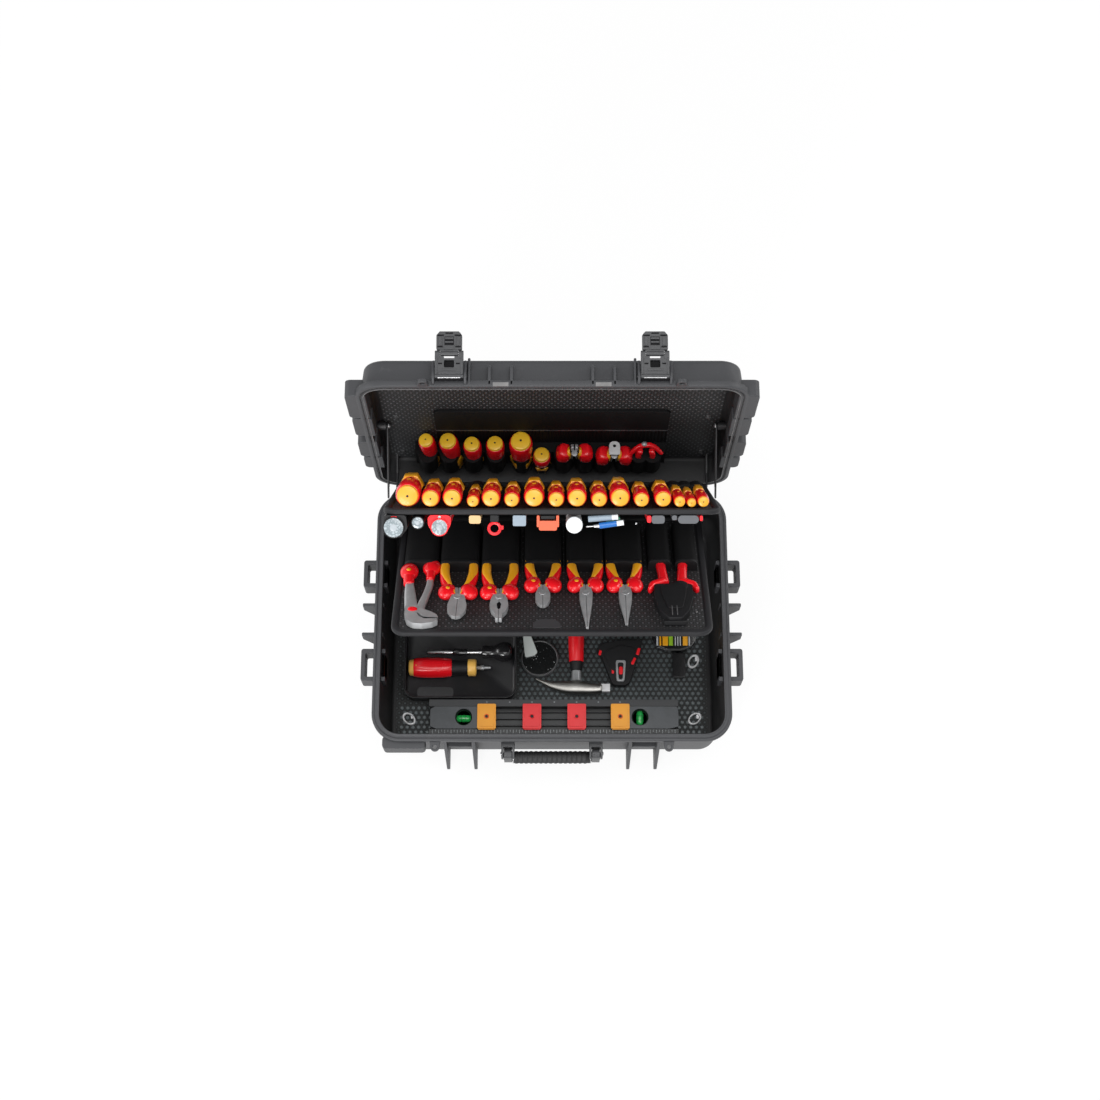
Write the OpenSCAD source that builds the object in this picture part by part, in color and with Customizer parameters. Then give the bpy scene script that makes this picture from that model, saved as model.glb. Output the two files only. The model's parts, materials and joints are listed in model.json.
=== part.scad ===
// Hard tool case, standing open: a deep base, a lid on two rear hinges, and two
// tool boards that swing out with the lid, one hung in the lid and one in the base.
// Origin: centre of the flat bottom. +X right, +Y to the hinges, +Z up.
// Millimetres. Every joint value is 0 in the open position drawn here.

/* [Case shell] */
// Width over the rim flanges
rim_w = 560; // [540:1:600]
// Depth over the rim flanges
rim_d = 406; // [390:1:430]
// Corner radius of the rim flanges
rim_r = 44; // [36:1:56]
// Height of the base, floor to rim
base_h = 142; // [136:1:170]
// Outside height of the lid above its rim
lid_h = 47; // [46:1:60]
// Wall thickness of the moulded shells
wall = 4; // [3:0.25:5]
// How far the rim flange stands out from the wall
flange_out = 8; // [7:0.5:12]
// Thickness of each rim flange
flange_t = 10; // [8:0.5:12]
// Inset of the walls at the closed end, for mould draft
draft = 7; // [4:0.5:10]
// Rounding where a wall meets the floor or the lid panel
edge_r = 8; // [6:0.5:10]
// Gap between the two rims when shut
rim_gap = 0.6; // [0.4:0.1:1]

/* [Lid hinges] */
// Distance of the hinge line behind the rims
hinge_back = 9; // [8:0.5:12]
// Radius of the hinge knuckles
knuckle_r = 6; // [5:0.25:7]
// Radius of the hinge pins
hinge_pin_r = 2.5; // [2:0.25:3]
// Length of one whole hinge
hinge_len = 84; // [70:1:100]
// Offset of each hinge from the middle
hinge_x = 150; // [120:1:180]

/* [Latches] */
// Offset of each latch from the middle
latch_x = 144; // [130:1:156]
// Width of the latch lever
lever_w = 40; // [36:1:44]
// Length of the latch lever, pivot to link pivot
lever_l = 33; // [30:1:36]
// Thickness of the latch lever and hook
latch_t = 8; // [6:0.5:9]
// Width of the latch hook
hook_w = 36; // [30:1:38]
// Length of the latch hook beyond its pivot
hook_l = 31; // [28:1:34]
// Height of the lever pivot above the lid's rim
latch_pivot_h = 13; // [12:1:18]
// Radius of the latch pins
latch_pin_r = 2; // [1.5:0.25:2.5]
// Outward lean of an open latch, in degrees
latch_lean = 8; // [0:1:12]

/* [Carry handle] */
// Length over the handle's end arms
handle_w = 150; // [136:1:160]
// Reach of the handle from its pivot to the grip's centre
handle_reach = 27; // [24:1:34]
// Diameter of the grip
grip_d = 20; // [16:1:22]
// Width of each handle arm
arm_w = 13; // [11:0.5:15]
// Radius of the handle pins
handle_pin_r = 3; // [2:0.25:3.5]
// Drop of the handle pivot below the rim
handle_drop = 30; // [26:1:40]

/* [Side loops and eyes] */
// How far the side loops stand out beyond the rim
loop_out = 20; // [15:1:30]
// Thickness of the loop bars
loop_bar = 7; // [6:0.5:9]
// Radius of the padlock eye holes
eye_r = 3.5; // [3:0.25:4]
// Offset of each padlock eye from the middle
eye_x = 181; // [172:1:190]

/* [Tool boards] */
// Gap between a tool board's edge and the wall beside it
board_gap = 24; // [22:1:33]
// Length of the upper board from its pivot
upper_l = 297; // [280:1:305]
// Length of the lower board from its pivot
lower_l = 300; // [285:1:308]
// Thickness of the board sheets
board_t = 4; // [3:0.5:5]
// Thickness of the padded edge frames
edge_t = 9; // [8:0.5:10]
// Width of the padded edge frames
edge_w = 11; // [8:0.5:13]
// Corner radius of the boards
board_r = 22; // [16:1:28]
// Angle of the upper board away from the open lid, in degrees
upper_open = 27.5; // [24:0.5:30]
// Angle of the lower board above level, in degrees
lower_open = 35.6; // [32:0.1:38]
// Radius of the board pivot pins
board_pin_r = 2.5; // [2:0.25:3]
// Thickness of the pivot plates and stay bars
plate_t = 2.5; // [2:0.25:3]

/* [Fitted tools] */
// Length of the grips on the upper board
upper_grip_l = 104; // [96:1:106]
// Length of the grips in the lid
lid_grip_l = 84; // [76:1:86]
// Length of a driver's yellow collar
collar_l = 12; // [8:0.5:14]
// Thickness of the domed end caps
cap_l = 5; // [4:0.5:8]
// Thickness of the plier heads
head_t = 11; // [8:0.5:12]
// Thickness of the plier grips
plier_grip_t = 14; // [12:0.5:16]
// Gap between an end of the spirit level and the edge of the floor
level_gap = 52; // [48:1:63]
// Width of the spirit level's wide face
level_w = 58; // [50:1:60]
// Thickness of the spirit level
level_t = 28; // [22:1:32]
// Height of the compartment walls
bin_h = 30; // [24:1:36]

/* [Hidden] */

$fn = 48;
cut = 0.5;
run_gap = 0.3;
pin_gap = 0.08;
hinge_y = rim_d / 2 + hinge_back;
hinge_z = base_h + rim_gap / 2;
base_w = rim_w - 2 * flange_out;
loops_w = rim_w + 2 * loop_out;
board_w = base_w - 2 * wall - 2 * board_gap;
base_d = rim_d - 2 * flange_out;
body_r = rim_r - flange_out;
front_wall = hinge_back + rim_d - flange_out;
floor_z = wall;
lid_panel_z = lid_h - wall;
floor_w = base_w - 2 * (wall + draft + edge_r);
floor_d = base_d - 2 * (wall + draft + edge_r);
level_l = floor_w - 2 * level_gap;

// The tools are laid out for a board and a floor this wide. Other widths get tools, and places
// across the width, in proportion.
laid_board_w = 488;
laid_floor_w = 506;
board_fit = board_w / laid_board_w;
floor_fit = floor_w / laid_floor_w;

// A flat rounded rectangle centred on the origin
module plan(w, d, r) {
  square([w - 2 * r, d], center = true);
  square([w, d - 2 * r], center = true);
  for (sx = [-1, 1], sy = [-1, 1])
    translate([sx * (w / 2 - r), sy * (d / 2 - r)]) circle(r);
}

module slab(w, d, r, h) {
  linear_extrude(h) plan(w, d, r);
}

// A thin rounded slab made for hulls
module rim_slice(w, d, r, z) {
  translate([0, 0, z]) linear_extrude(0.1)
    for (sx = [-1, 1], sy = [-1, 1])
      translate([sx * (w / 2 - r), sy * (d / 2 - r)]) circle(r, $fn = 32);
}

// A tub with drafted walls and a rounded closed end at z = 0, its mouth at z = h
module tub(w, d, r, h, inset, round) {
  hull() {
    rim_slice(w - 2 * inset - 2 * round, d - 2 * inset - 2 * round, r - round, 0);
    rim_slice(w - 2 * inset - 0.6 * round, d - 2 * inset - 0.6 * round, r - 0.3 * round, 0.3 * round);
    rim_slice(w - 2 * inset, d - 2 * inset, r, round);
    rim_slice(w, d, r, h - 0.1);
  }
}

module at_hinge() {
  translate([0, hinge_y, hinge_z]) children();
}

// Children are drawn as in the shut lid, with the hinge line through their origin
module in_lid() {
  at_hinge() rotate([-90, 0, 0]) children();
}

upper_pivot = [-30, -6];
lower_pivot = [-33, -61];

// Children are drawn on a level board that reaches towards -Y from its pivot
module on_upper() {
  in_lid() translate([0, upper_pivot[0], upper_pivot[1]]) rotate([upper_open, 0, 0]) children();
}

module on_lower() {
  at_hinge() translate([0, lower_pivot[0], lower_pivot[1]]) rotate([-lower_open, 0, 0]) children();
}

module x_cylinder(r, l) {
  rotate([0, 90, 0]) cylinder(r = r, h = l, center = true);
}

// An outline in the Y-Z plane, extruded along X about x = 0
module yz_plate(points, t) {
  rotate([90, 0, 90]) translate([0, 0, -t / 2]) linear_extrude(t) polygon(points);
}

// ---- base ----

rib_x = [-166, -122, 122, 166];
rib_out = 26;
rib_t = 5;
catch_t = 6;
catch_out = 9;
claw_t = 6;
// Underside of the ledge that a shut hook's claw pulls on
catch_z = latch_pivot_h - lever_l - hook_l + claw_t + run_gap;
knuckle_gap = 0.4;
knuckle_l = (hinge_len - 4 * knuckle_gap) / 5;
knuckle_pitch = knuckle_l + knuckle_gap;

// One set of knuckles with their arms, reaching to the wall at y = -hinge_back
module knuckles(slots, up) {
  for (side = [-1, 1], i = slots)
    translate([side * hinge_x + (i - 2) * knuckle_pitch, 0, 0])
      difference() {
        union() {
          x_cylinder(knuckle_r, knuckle_l);
          translate([-knuckle_l / 2, -hinge_back - cut, up > 0 ? rim_gap : -flange_t])
            cube([knuckle_l, hinge_back + cut, flange_t - rim_gap]);
        }
        x_cylinder(hinge_pin_r + pin_gap, knuckle_l + 2);
      }
}

module base_front_rib(x) {
  translate([x, 0, 0])
    yz_plate([[-base_d / 2 + draft + 4, 6], [-base_d / 2 - rib_out, 6], [-base_d / 2 - rib_out, 14],
              [-base_d / 2 - flange_out, base_h - flange_t], [-base_d / 2 + 2, base_h - flange_t]], rib_t);
}

rear_rib_x = [-180, -120, 120, 180];
boss_w = 66;
boss_inset = 50;
boss_out = 10;
boss_h = 32;

module base_rear_rib(x) {
  translate([x, 0, 0])
    yz_plate([[base_d / 2 - draft - 4, 20], [base_d / 2 - draft + 3, 20],
              [base_d / 2 + flange_out - 1, base_h - flange_t], [base_d / 2 - 2, base_h - flange_t]], rib_t);
}

// Ledge under the flange that a latch hook pulls on
module latch_catch(x) {
  translate([x - hook_w / 2, hinge_y - front_wall - catch_out, hinge_z + catch_z])
    cube([hook_w, catch_out + 6, catch_t]);
}

module padlock_eye(h) {
  difference() {
    hull() {
      cylinder(r = eye_r + 3.5, h = h);
      translate([-eye_r - 5, 8, 0]) cube([2 * eye_r + 10, 2, h]);
    }
    translate([0, 0, -cut]) cylinder(r = eye_r, h = h + 2 * cut);
  }
}

eye_out = 8;

module base_outside() {
  tub(base_w, base_d, body_r, base_h, draft, edge_r);
}

module base_inside() {
  translate([0, 0, wall])
    tub(base_w - 2 * wall, base_d - 2 * wall, body_r - wall, base_h - wall + 1, draft, edge_r - 2);
}

module base_flange() {
  translate([0, 0, base_h - flange_t]) slab(rim_w, rim_d, rim_r, flange_t);
}

// The tub and its rim flange, plain inside and out
module base_shell() {
  color([0.27, 0.27, 0.28])
  difference() {
    union() {
      base_outside();
      base_flange();
    }
    base_inside();
  }
}

// Everything moulded on the outside of the tub, cut flush with it
module base_fittings() {
  color([0.27, 0.27, 0.28])
  difference() {
    union() {
      for (x = rib_x) base_front_rib(x);
      for (side = [-1, 1]) {
        latch_catch(side * latch_x);
        for (y = [19, -29])
          translate([side * (base_w / 2 - 6), y, 0]) side_gusset(side);
        translate([side * eye_x, -rim_d / 2 - eye_out, base_h - flange_t]) padlock_eye(6);
      }
      // Rounded boss under the flange at the front left corner
      translate([boss_inset - rim_w / 2, -rim_d / 2, base_h - flange_t - boss_h])
        slab(boss_w, 2 * boss_out, 6, boss_h);
      for (x = rear_rib_x) base_rear_rib(x);
      at_hinge() knuckles([0, 2, 4], -1);
    }
    base_outside();
    base_flange();
  }
}

gusset_h = 34;
gusset_foot = 40;

// A triangular stiffener on a side wall, tapering to nothing at the foot
module side_gusset(side) {
  reach = side * (loops_w / 2 - base_w / 2 + 6);
  rotate([90, 0, 0]) translate([0, 0, -2.5]) linear_extrude(5)
    polygon([[0, base_h - flange_t], [reach, base_h - flange_t], [reach, base_h - gusset_h], [0, gusset_foot]]);
}

loop_h = 36;
loop_y = [[48, 93], [-105, -53]];

// Two strap loops on each side wall, open from top to bottom
module side_loops() {
  reach = loops_w / 2 - base_w / 2 + 8;
  color([0.25, 0.25, 0.26])
  difference() {
    for (side = [-1, 1], span = loop_y)
      translate([side * (loops_w / 2 - reach / 2), (span[0] + span[1]) / 2, base_h - flange_t - loop_h])
        difference() {
          slab(reach, span[1] - span[0], 3, loop_h);
          translate([-side * loop_bar, 0, -cut])
            slab(reach, span[1] - span[0] - 2 * loop_bar, 2, loop_h + 2 * cut);
        }
    base_outside();
  }
}

module hinge_pins() {
  color("silver") at_hinge()
    for (side = [-1, 1]) translate([side * hinge_x, 0, 0]) x_cylinder(hinge_pin_r, hinge_len);
}

// ---- carry handle ----

handle_y = -rim_d / 2 - 14;
handle_z = base_h - handle_drop;
bracket_w = 21;
arm_x = handle_w / 2 - arm_w / 2;

module handle_brackets() {
  color([0.2, 0.2, 0.21])
  difference() {
    for (side = [-1, 1])
      translate([side * arm_x, 0, handle_z])
        difference() {
          translate([-bracket_w / 2, handle_y - 8, -11]) cube([bracket_w, 8 - handle_y - base_d / 2 + 6, 22]);
          translate([-arm_w / 2 - run_gap, handle_y - 9, -12])
            cube([arm_w + 2 * run_gap, 8.5 + 9, 24]);
          translate([0, handle_y, 0]) x_cylinder(handle_pin_r + 0.02, bracket_w + 2);
        }
    base_outside();
  }
}

module handle_pins() {
  color("silver")
  for (side = [-1, 1])
    translate([side * arm_x, handle_y, handle_z]) x_cylinder(handle_pin_r, bracket_w);
}

// Arms and bow in one moulding, hanging straight down
module carry_handle() {
  color([0.17, 0.17, 0.18])
  difference() {
    union() {
      for (side = [-1, 1])
        translate([side * arm_x, handle_y, handle_z]) {
          x_cylinder(7, arm_w);
          translate([-arm_w / 2, -7, -handle_reach]) cube([arm_w, 14, handle_reach]);
          translate([0, 0, -handle_reach]) x_cylinder(grip_d / 2 - 1, arm_w);
        }
      translate([0, handle_y, handle_z - handle_reach]) x_cylinder(grip_d / 2 - 4, handle_w - 2 * arm_w + 1);
    }
    translate([0, handle_y, handle_z]) x_cylinder(handle_pin_r + pin_gap, handle_w + 2);
  }
}

module handle_grip() {
  color([0.1, 0.1, 0.1])
  translate([0, handle_y, handle_z - handle_reach])
    difference() {
      x_cylinder(grip_d / 2, handle_w - 2 * arm_w - 2 * run_gap);
      x_cylinder(grip_d / 2 - 4, handle_w);
    }
}

// ---- lid ----

lug_t = 5;
latch_y = -(hinge_back + rim_d) - latch_t / 2 - 2;
lid_mid = -(hinge_back + rim_d / 2);

lid_draft = 3;

module lid_inside() {
  translate([0, lid_mid, lid_panel_z]) mirror([0, 0, 1])
    tub(base_w - 2 * wall, base_d - 2 * wall, body_r - wall, lid_panel_z + 2, lid_draft, edge_r - 2);
}

module lid_outside() {
  translate([0, lid_mid, lid_h]) mirror([0, 0, 1])
    tub(base_w, base_d, body_r, lid_h - rim_gap, lid_draft, edge_r);
}

module lid_flange() {
  translate([0, lid_mid, rim_gap / 2]) slab(rim_w, rim_d, rim_r, flange_t);
}

// The lid's tub and rim flange, with the groove of the seal
module lid_shell() {
  color([0.27, 0.27, 0.28])
  in_lid()
  difference() {
    union() {
      lid_outside();
      lid_flange();
    }
    lid_inside();
    translate([0, lid_mid, -1])
      difference() {
        slab(base_w + 5, base_d + 5, body_r + 2.5, 1 + seal_h);
        translate([0, 0, -1]) slab(base_w - 1, base_d - 1, body_r - 0.5, seal_h + 4);
      }
  }
}

// Everything moulded on the outside of the lid, cut flush with it
module lid_fittings() {
  color([0.27, 0.27, 0.28])
  in_lid()
  difference() {
    union() {
      for (side = [-1, 1]) {
        for (edge = [-1, 1])
          translate([side * latch_x + edge * (lever_w / 2 + run_gap + lug_t / 2), 0, 0]) latch_lug();
        // Inner guard rib beside each latch, and the stiffeners of the front wall
        translate([side * (latch_x - 31), 0, 0])
          yz_plate([[-front_wall + 5, 2], [-front_wall - 9, 2], [-front_wall - 9, lid_h - 2], [-front_wall + 5, lid_h - 6]], 4);
        for (x = [55, 86])
          translate([side * x, 0, 0])
            yz_plate([[-front_wall + 5, 2], [-front_wall - flange_out, 2], [-front_wall - flange_out, flange_t + 8],
                      [-front_wall + 5, lid_h - 9]], 4.5);
        for (block = lid_side_blocks)
          translate([side * (rim_w / 2 + block[2] - side_block_w / 2), -block[0] - block[1] / 2, rim_gap / 2])
            slab(side_block_w, block[1], 9, flange_t + block[3]);
        translate([side * eye_x, -hinge_back - rim_d - eye_out, rim_gap / 2]) padlock_eye(6);
      }
      knuckles([1, 3], 1);
    }
    lid_outside();
    lid_flange();
    for (side = [-1, 1])
      translate([side * latch_x, latch_y, latch_pivot_h]) x_cylinder(latch_pin_r + 0.02, 2 * lever_w);
  }
}

seal_h = 3.4;
side_block_w = 30;
// Distance from the hinge line, length, reach and extra height of the blocks on the lid's sides
lid_side_blocks = [[296, 84, 15, 16], [226, 66, 13, 10], [140, 60, 14, 16], [92, 44, 11, 10]];

module latch_lug() {
  yz_plate([[-front_wall + 5, 3], [latch_y + 3, 3], [latch_y - 4, 9], [latch_y - 4, latch_pivot_h + 4],
            [latch_y + 3, lid_h - 8], [-front_wall + 5, lid_h - 6]], lug_t);
}

module rim_seal() {
  color([0.08, 0.08, 0.08]) in_lid()
  translate([0, lid_mid, rim_gap])
    difference() {
      slab(base_w + 4.4, base_d + 4.4, body_r + 2.2, seal_h - rim_gap);
      translate([0, 0, -1]) slab(base_w - 0.4, base_d - 0.4, body_r - 0.2, seal_h + 2);
    }
}

module latch_pins() {
  color("silver") in_lid()
    for (side = [-1, 1])
      translate([side * latch_x, latch_y, latch_pivot_h])
        x_cylinder(latch_pin_r, lever_w + 2 * run_gap + 2 * lug_t);
}

// Children are drawn along +Z from the latch pivot, outside towards -Y
module at_latch(side) {
  in_lid() translate([side * latch_x, latch_y, latch_pivot_h]) rotate([latch_lean, 0, 0]) children();
}

window_w = 13;
fork_gap = hook_w * 0.5;

module lever(side) {
  color([0.2, 0.2, 0.21])
  at_latch(side)
  difference() {
    union() {
      x_cylinder(latch_t / 2, lever_w);
      translate([-lever_w / 2, -latch_t / 2, 0]) cube([lever_w, latch_t, lever_l - 6]);
      // Fork that carries the link pin
      for (edge = [-1, 1])
        translate([edge * (lever_w / 2 - 3.5), 0, 0]) {
          translate([-3.5, -latch_t / 2, lever_l - 7]) cube([7, latch_t, 7]);
          translate([0, 0, lever_l]) x_cylinder(latch_t / 2, 7);
        }
    }
    x_cylinder(latch_pin_r + pin_gap, lever_w + 2);
    translate([0, 0, lever_l]) x_cylinder(latch_pin_r + pin_gap, lever_w + 2);
    translate([-window_w / 2, -latch_t, 12]) cube([window_w, 2 * latch_t, 11]);
  }
}

// Hook plate with its link pin in one, ending in an inward claw
module hook(side) {
  width = lever_w - 14 - 2 * run_gap;
  color([0.18, 0.18, 0.19])
  at_latch(side)
  translate([0, 0, lever_l])
  difference() {
    union() {
      x_cylinder(latch_pin_r, lever_w);
      x_cylinder(latch_t / 2, width);
      translate([-width / 2, -latch_t / 2, 0]) cube([width, latch_t, hook_l]);
      translate([-hook_w / 2, -latch_t / 2, latch_t]) cube([hook_w, latch_t, hook_l - latch_t]);
      translate([-hook_w / 2, latch_t / 2 - cut, hook_l - claw_t]) cube([hook_w, 5 + cut, claw_t]);
    }
    for (edge = [-1, 1])
      translate([edge * hook_w / 2 - 5, -latch_t / 2 - cut, 12]) cube([10, 4, 11]);
    translate([-7, -latch_t / 2 - cut, 8]) cube([14, 3.5, 12]);
  }
}

module lever_left() {
  lever(-1);
}

module lever_right() {
  lever(1);
}

module hook_left() {
  hook(-1);
}

module hook_right() {
  hook(1);
}

// Thin lining panel inside the lid
panel_w = base_w - 2 * wall - 24;
panel_d = base_d - 2 * wall - 24;
panel_t = 2;
panel_z = lid_panel_z - panel_t - run_gap;

module lid_panel() {
  color([0.1, 0.1, 0.1]) in_lid()
  difference() {
    translate([0, lid_mid, panel_z]) slab(panel_w, panel_d, 24, panel_t);
    for (p = screw_at) translate([p[0], p[1], panel_z - 1]) cylinder(r = 2.1, h = panel_t + 2);
  }
}

screw_x = panel_w / 2 - 20;
screw_at = [for (y = [7, panel_d / 2 - 27, 41 - panel_d / 2], side = [-1, 1]) [side * screw_x, lid_mid + y]];

module panel_screws() {
  color([0.5, 0.5, 0.5]) in_lid()
    for (p = screw_at)
      translate([p[0], p[1], panel_z - 2]) {
        cylinder(r = 4, h = 2);
        cylinder(r = 2, h = panel_t + 2 + run_gap);
      }
}

pocket_t = 5;
lid_pocket_w = panel_w - 156;
lid_pocket_l = 150;
lid_pocket_y = -234;

// Document pocket across the lid panel
module lid_pocket() {
  color([0.07, 0.07, 0.07]) in_lid()
  difference() {
    translate([-lid_pocket_w / 2, lid_pocket_y, panel_z - pocket_t]) cube([lid_pocket_w, lid_pocket_l, pocket_t]);
    translate([3 - lid_pocket_w / 2, lid_pocket_y - 1, panel_z - pocket_t + 1.5])
      cube([lid_pocket_w - 6, lid_pocket_l - 2, pocket_t - 3]);
  }
}

// ---- tools in the lid ----

lid_driver_x = board_fit * [-195, -161, -124, -88, -48, -16];
lid_driver_d = board_fit * [22, 27, 27, 28, 33, 26];
lid_cap_y = -142;
lid_tool_z = panel_z - pocket_t - 17;

// Children are drawn along +Y from the cap's outer face, the axis at their origin
module at_lid_driver(i) {
  in_lid() translate([lid_driver_x[i], lid_cap_y, lid_tool_z]) children();
}

module y_cylinder(r, l) {
  rotate([-90, 0, 0]) cylinder(r = r, h = l);
}

// The yellow end caps, and the collars where the blades leave the grips
module lid_driver_caps() {
  color([0.98, 0.7, 0.1])
  for (i = [0:5]) {
    at_lid_driver(i) y_cylinder(lid_driver_d[i] / 2 - 1.5, cap_l);
    at_lid_driver(i) translate([0, cap_l + lid_grip_l, 0]) y_cylinder(lid_driver_d[i] / 2 - 3, collar_l);
  }
}

module lid_driver_grips() {
  color([0.9, 0.08, 0.12])
  for (i = [0:5]) at_lid_driver(i) translate([0, cap_l, 0]) y_cylinder(lid_driver_d[i] / 2, lid_grip_l);
}

strip_y = lid_cap_y + 62;
strip_x = board_fit * [-216, 198];
strip_out = 18.5;
strip_w = 20;

// Elastic strip with a sleeve round each grip
module lid_tool_strip() {
  color([0.07, 0.07, 0.07]) in_lid()
  difference() {
    translate([strip_x[0], strip_y, lid_tool_z - strip_out])
      cube([strip_x[1] - strip_x[0], strip_w, panel_z - lid_tool_z + strip_out]);
    for (i = [0:5])
      translate([lid_driver_x[i], strip_y - 1, lid_tool_z]) y_cylinder(lid_driver_d[i] / 2 + run_gap, strip_w + 2);
    for (x = lid_plier_x, edge = [-1, 1])
      translate([x + edge * lid_plier_half, strip_y - 1, lid_tool_z]) y_cylinder(lid_plier_r + run_gap, strip_w + 2);
    for (edge = [-1, 1])
      translate([thin_pair_x + edge * thin_half, strip_y - 1, lid_tool_z]) y_cylinder(thin_r + run_gap, strip_w + 2);
  }
}

lid_plier_x = board_fit * [35, 97];
lid_plier_half = board_fit * 17;
lid_plier_r = board_fit * 11;
thin_pair_x = board_fit * 146;
thin_half = board_fit * 12;
thin_r = board_fit * 7;

module lid_plier_grips() {
  color([0.9, 0.08, 0.12]) in_lid() {
    for (x = lid_plier_x, edge = [-1, 1])
      translate([x + edge * lid_plier_half, lid_cap_y + 4, lid_tool_z]) y_cylinder(lid_plier_r, lid_grip_l);
    for (edge = [-1, 1])
      translate([thin_pair_x + edge * thin_half, lid_cap_y + 10, lid_tool_z]) y_cylinder(thin_r, lid_grip_l);
  }
}

// Steel heads lying between each pair of grips
module lid_plier_heads() {
  color("silver") in_lid() {
    for (x = lid_plier_x)
      translate([x, lid_cap_y + 25, lid_tool_z])
        cube([2 * (lid_plier_half - lid_plier_r - run_gap), 62, 16], center = true);
    translate([thin_pair_x, lid_cap_y + 30, lid_tool_z])
      cube([2 * (thin_half - thin_r - run_gap), 54, 10], center = true);
  }
}

// ---- upper board and what is fixed to it ----

side_gap_x = board_w / 2 + 1.5;
// How far a board reaches behind its pivot
board_back = 6;

// Steel plates in the lid that carry the upper board's pins
module upper_pivot_plates() {
  color("silver") in_lid()
  for (side = [-1, 1])
    translate([side * (side_gap_x + plate_t / 2), 0, 0]) {
      yz_plate([[upper_pivot[0] - 6, upper_pivot[1] - 5], [upper_pivot[0] + 5, upper_pivot[1] - 5],
                [upper_pivot[0] + 5, 12], [upper_pivot[0] - 1, panel_z], [upper_pivot[0] - 16, panel_z],
                [upper_pivot[0] - 6, 12]], plate_t);
      translate([-side * 5, upper_pivot[0], upper_pivot[1]]) x_cylinder(board_pin_r, 10 + plate_t);
    }
}

// Padded frame round a board, with the pivot eyes at its back corners
module board_edge(l) {
  difference() {
    translate([0, (board_back - l) / 2, -edge_t / 2])
      difference() {
        slab(board_w, l + board_back, board_r, edge_t);
        translate([0, 0, -1])
          slab(board_w - 2 * edge_w, l + board_back - 2 * edge_w, board_r - edge_w, edge_t + 2);
      }
    x_cylinder(board_pin_r + pin_gap, board_w + 2);
  }
}

sheet_z = -board_t / 2;

module upper_board() {
  color([0.1, 0.1, 0.1]) on_upper() translate([0, 0, sheet_z]) board_panel(upper_l);
}

// The sheet fills the frame exactly
module board_panel(l) {
  translate([0, (board_back - l) / 2, 0])
    slab(board_w - 2 * edge_w, l + board_back - 2 * edge_w, board_r - edge_w, board_t);
}

module upper_edge() {
  color([0.16, 0.16, 0.17]) on_upper() board_edge(upper_l);
}

upper_x = board_fit * [-208, -175, -144, -114, -88, -58, -26, 6, 36, 68, 98, 129, 160, 184, 201, 218];
upper_d = board_fit * [34, 26, 27, 18, 26, 22, 28, 23, 27, 23, 28, 22, 24, 17, 14, 17];
upper_cap_s = upper_l - 6;
top_z = board_t / 2;
comb_l = 40;
comb_gap = 4;
comb_s = upper_cap_s - cap_l - upper_grip_l - collar_l - comb_gap - comb_l;
blade_r = 3.5;
comb_h = 9;

function driver_z(i) = edge_t / 2 + 0.6 + upper_d[i] / 2;

// Children are drawn along +Y from the cap's outer face, the axis at their origin
module at_upper_driver(i) {
  on_upper() translate([upper_x[i], -upper_cap_s, driver_z(i)]) children();
}

module upper_driver_caps() {
  color([0.98, 0.7, 0.1])
  for (i = [0:15]) at_upper_driver(i) y_cylinder(upper_d[i] / 2 - 1.5, cap_l);
}

module upper_driver_grips() {
  color([0.9, 0.08, 0.12])
  for (i = [0:15]) at_upper_driver(i) translate([0, cap_l, 0]) y_cylinder(upper_d[i] / 2, upper_grip_l);
}

module upper_driver_collars() {
  color([0.98, 0.7, 0.1])
  for (i = [0:15])
    at_upper_driver(i) translate([0, cap_l + upper_grip_l, 0]) y_cylinder(upper_d[i] / 2 - 2, collar_l);
}

blade_l = comb_l + comb_gap;

module upper_driver_blades() {
  color("silver")
  for (i = [0:15])
    at_upper_driver(i) translate([0, cap_l + upper_grip_l + collar_l, 0]) y_cylinder(blade_r, blade_l);
}

// Comb block whose open notches hold the blades
module upper_tool_comb() {
  color([0.07, 0.07, 0.07]) on_upper()
  difference() {
    translate([-board_w / 2 + edge_w + 1, -comb_s - comb_l, top_z]) cube([board_w - 2 * edge_w - 2, comb_l, 22]);
    for (i = [0:15])
      translate([upper_x[i] - blade_r - run_gap, -comb_s - comb_l - 1, driver_z(i) - blade_r - run_gap])
        cube([2 * blade_r + 2 * run_gap, comb_l + 2, 30]);
  }
}

// ---- under the upper board ----

torch_x = board_fit * [-227, -193, -162];
torch_d = board_fit * [28, 17, 26];
torch_l = [110, 120, 130];
under_z = -edge_t / 2 - 0.6;

module torch_bodies() {
  color([0.12, 0.12, 0.12]) on_upper()
    for (i = [0:2])
      translate([torch_x[i], -upper_l - 2, under_z - torch_d[i] / 2])
        difference() {
          y_cylinder(torch_d[i] / 2, torch_l[i]);
          translate([0, -1, 0]) y_cylinder(torch_d[i] / 2 - 2, 4);
        }
}

module torch_lenses() {
  color([0.8, 0.85, 0.9]) on_upper()
    for (i = [0:2])
      translate([torch_x[i], -upper_l - 1, under_z - torch_d[i] / 2]) y_cylinder(torch_d[i] / 2 - 2.2, 2);
}

// Width, height and length of the small tools held under the board, at their x
small_x = board_fit * [-111, -85, -47, -6, 32, 62, 78, 94, 152, 170, 208];
small_w = board_fit * [18, 12, 20, 30, 24, 9, 9, 9, 14, 14, 22];
small_t = [10, 9, 11, 20, 24, 9, 9, 9, 12, 12, 12];
small_l = [60, 80, 60, 55, 90, 130, 130, 130, 120, 120, 110];

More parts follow.
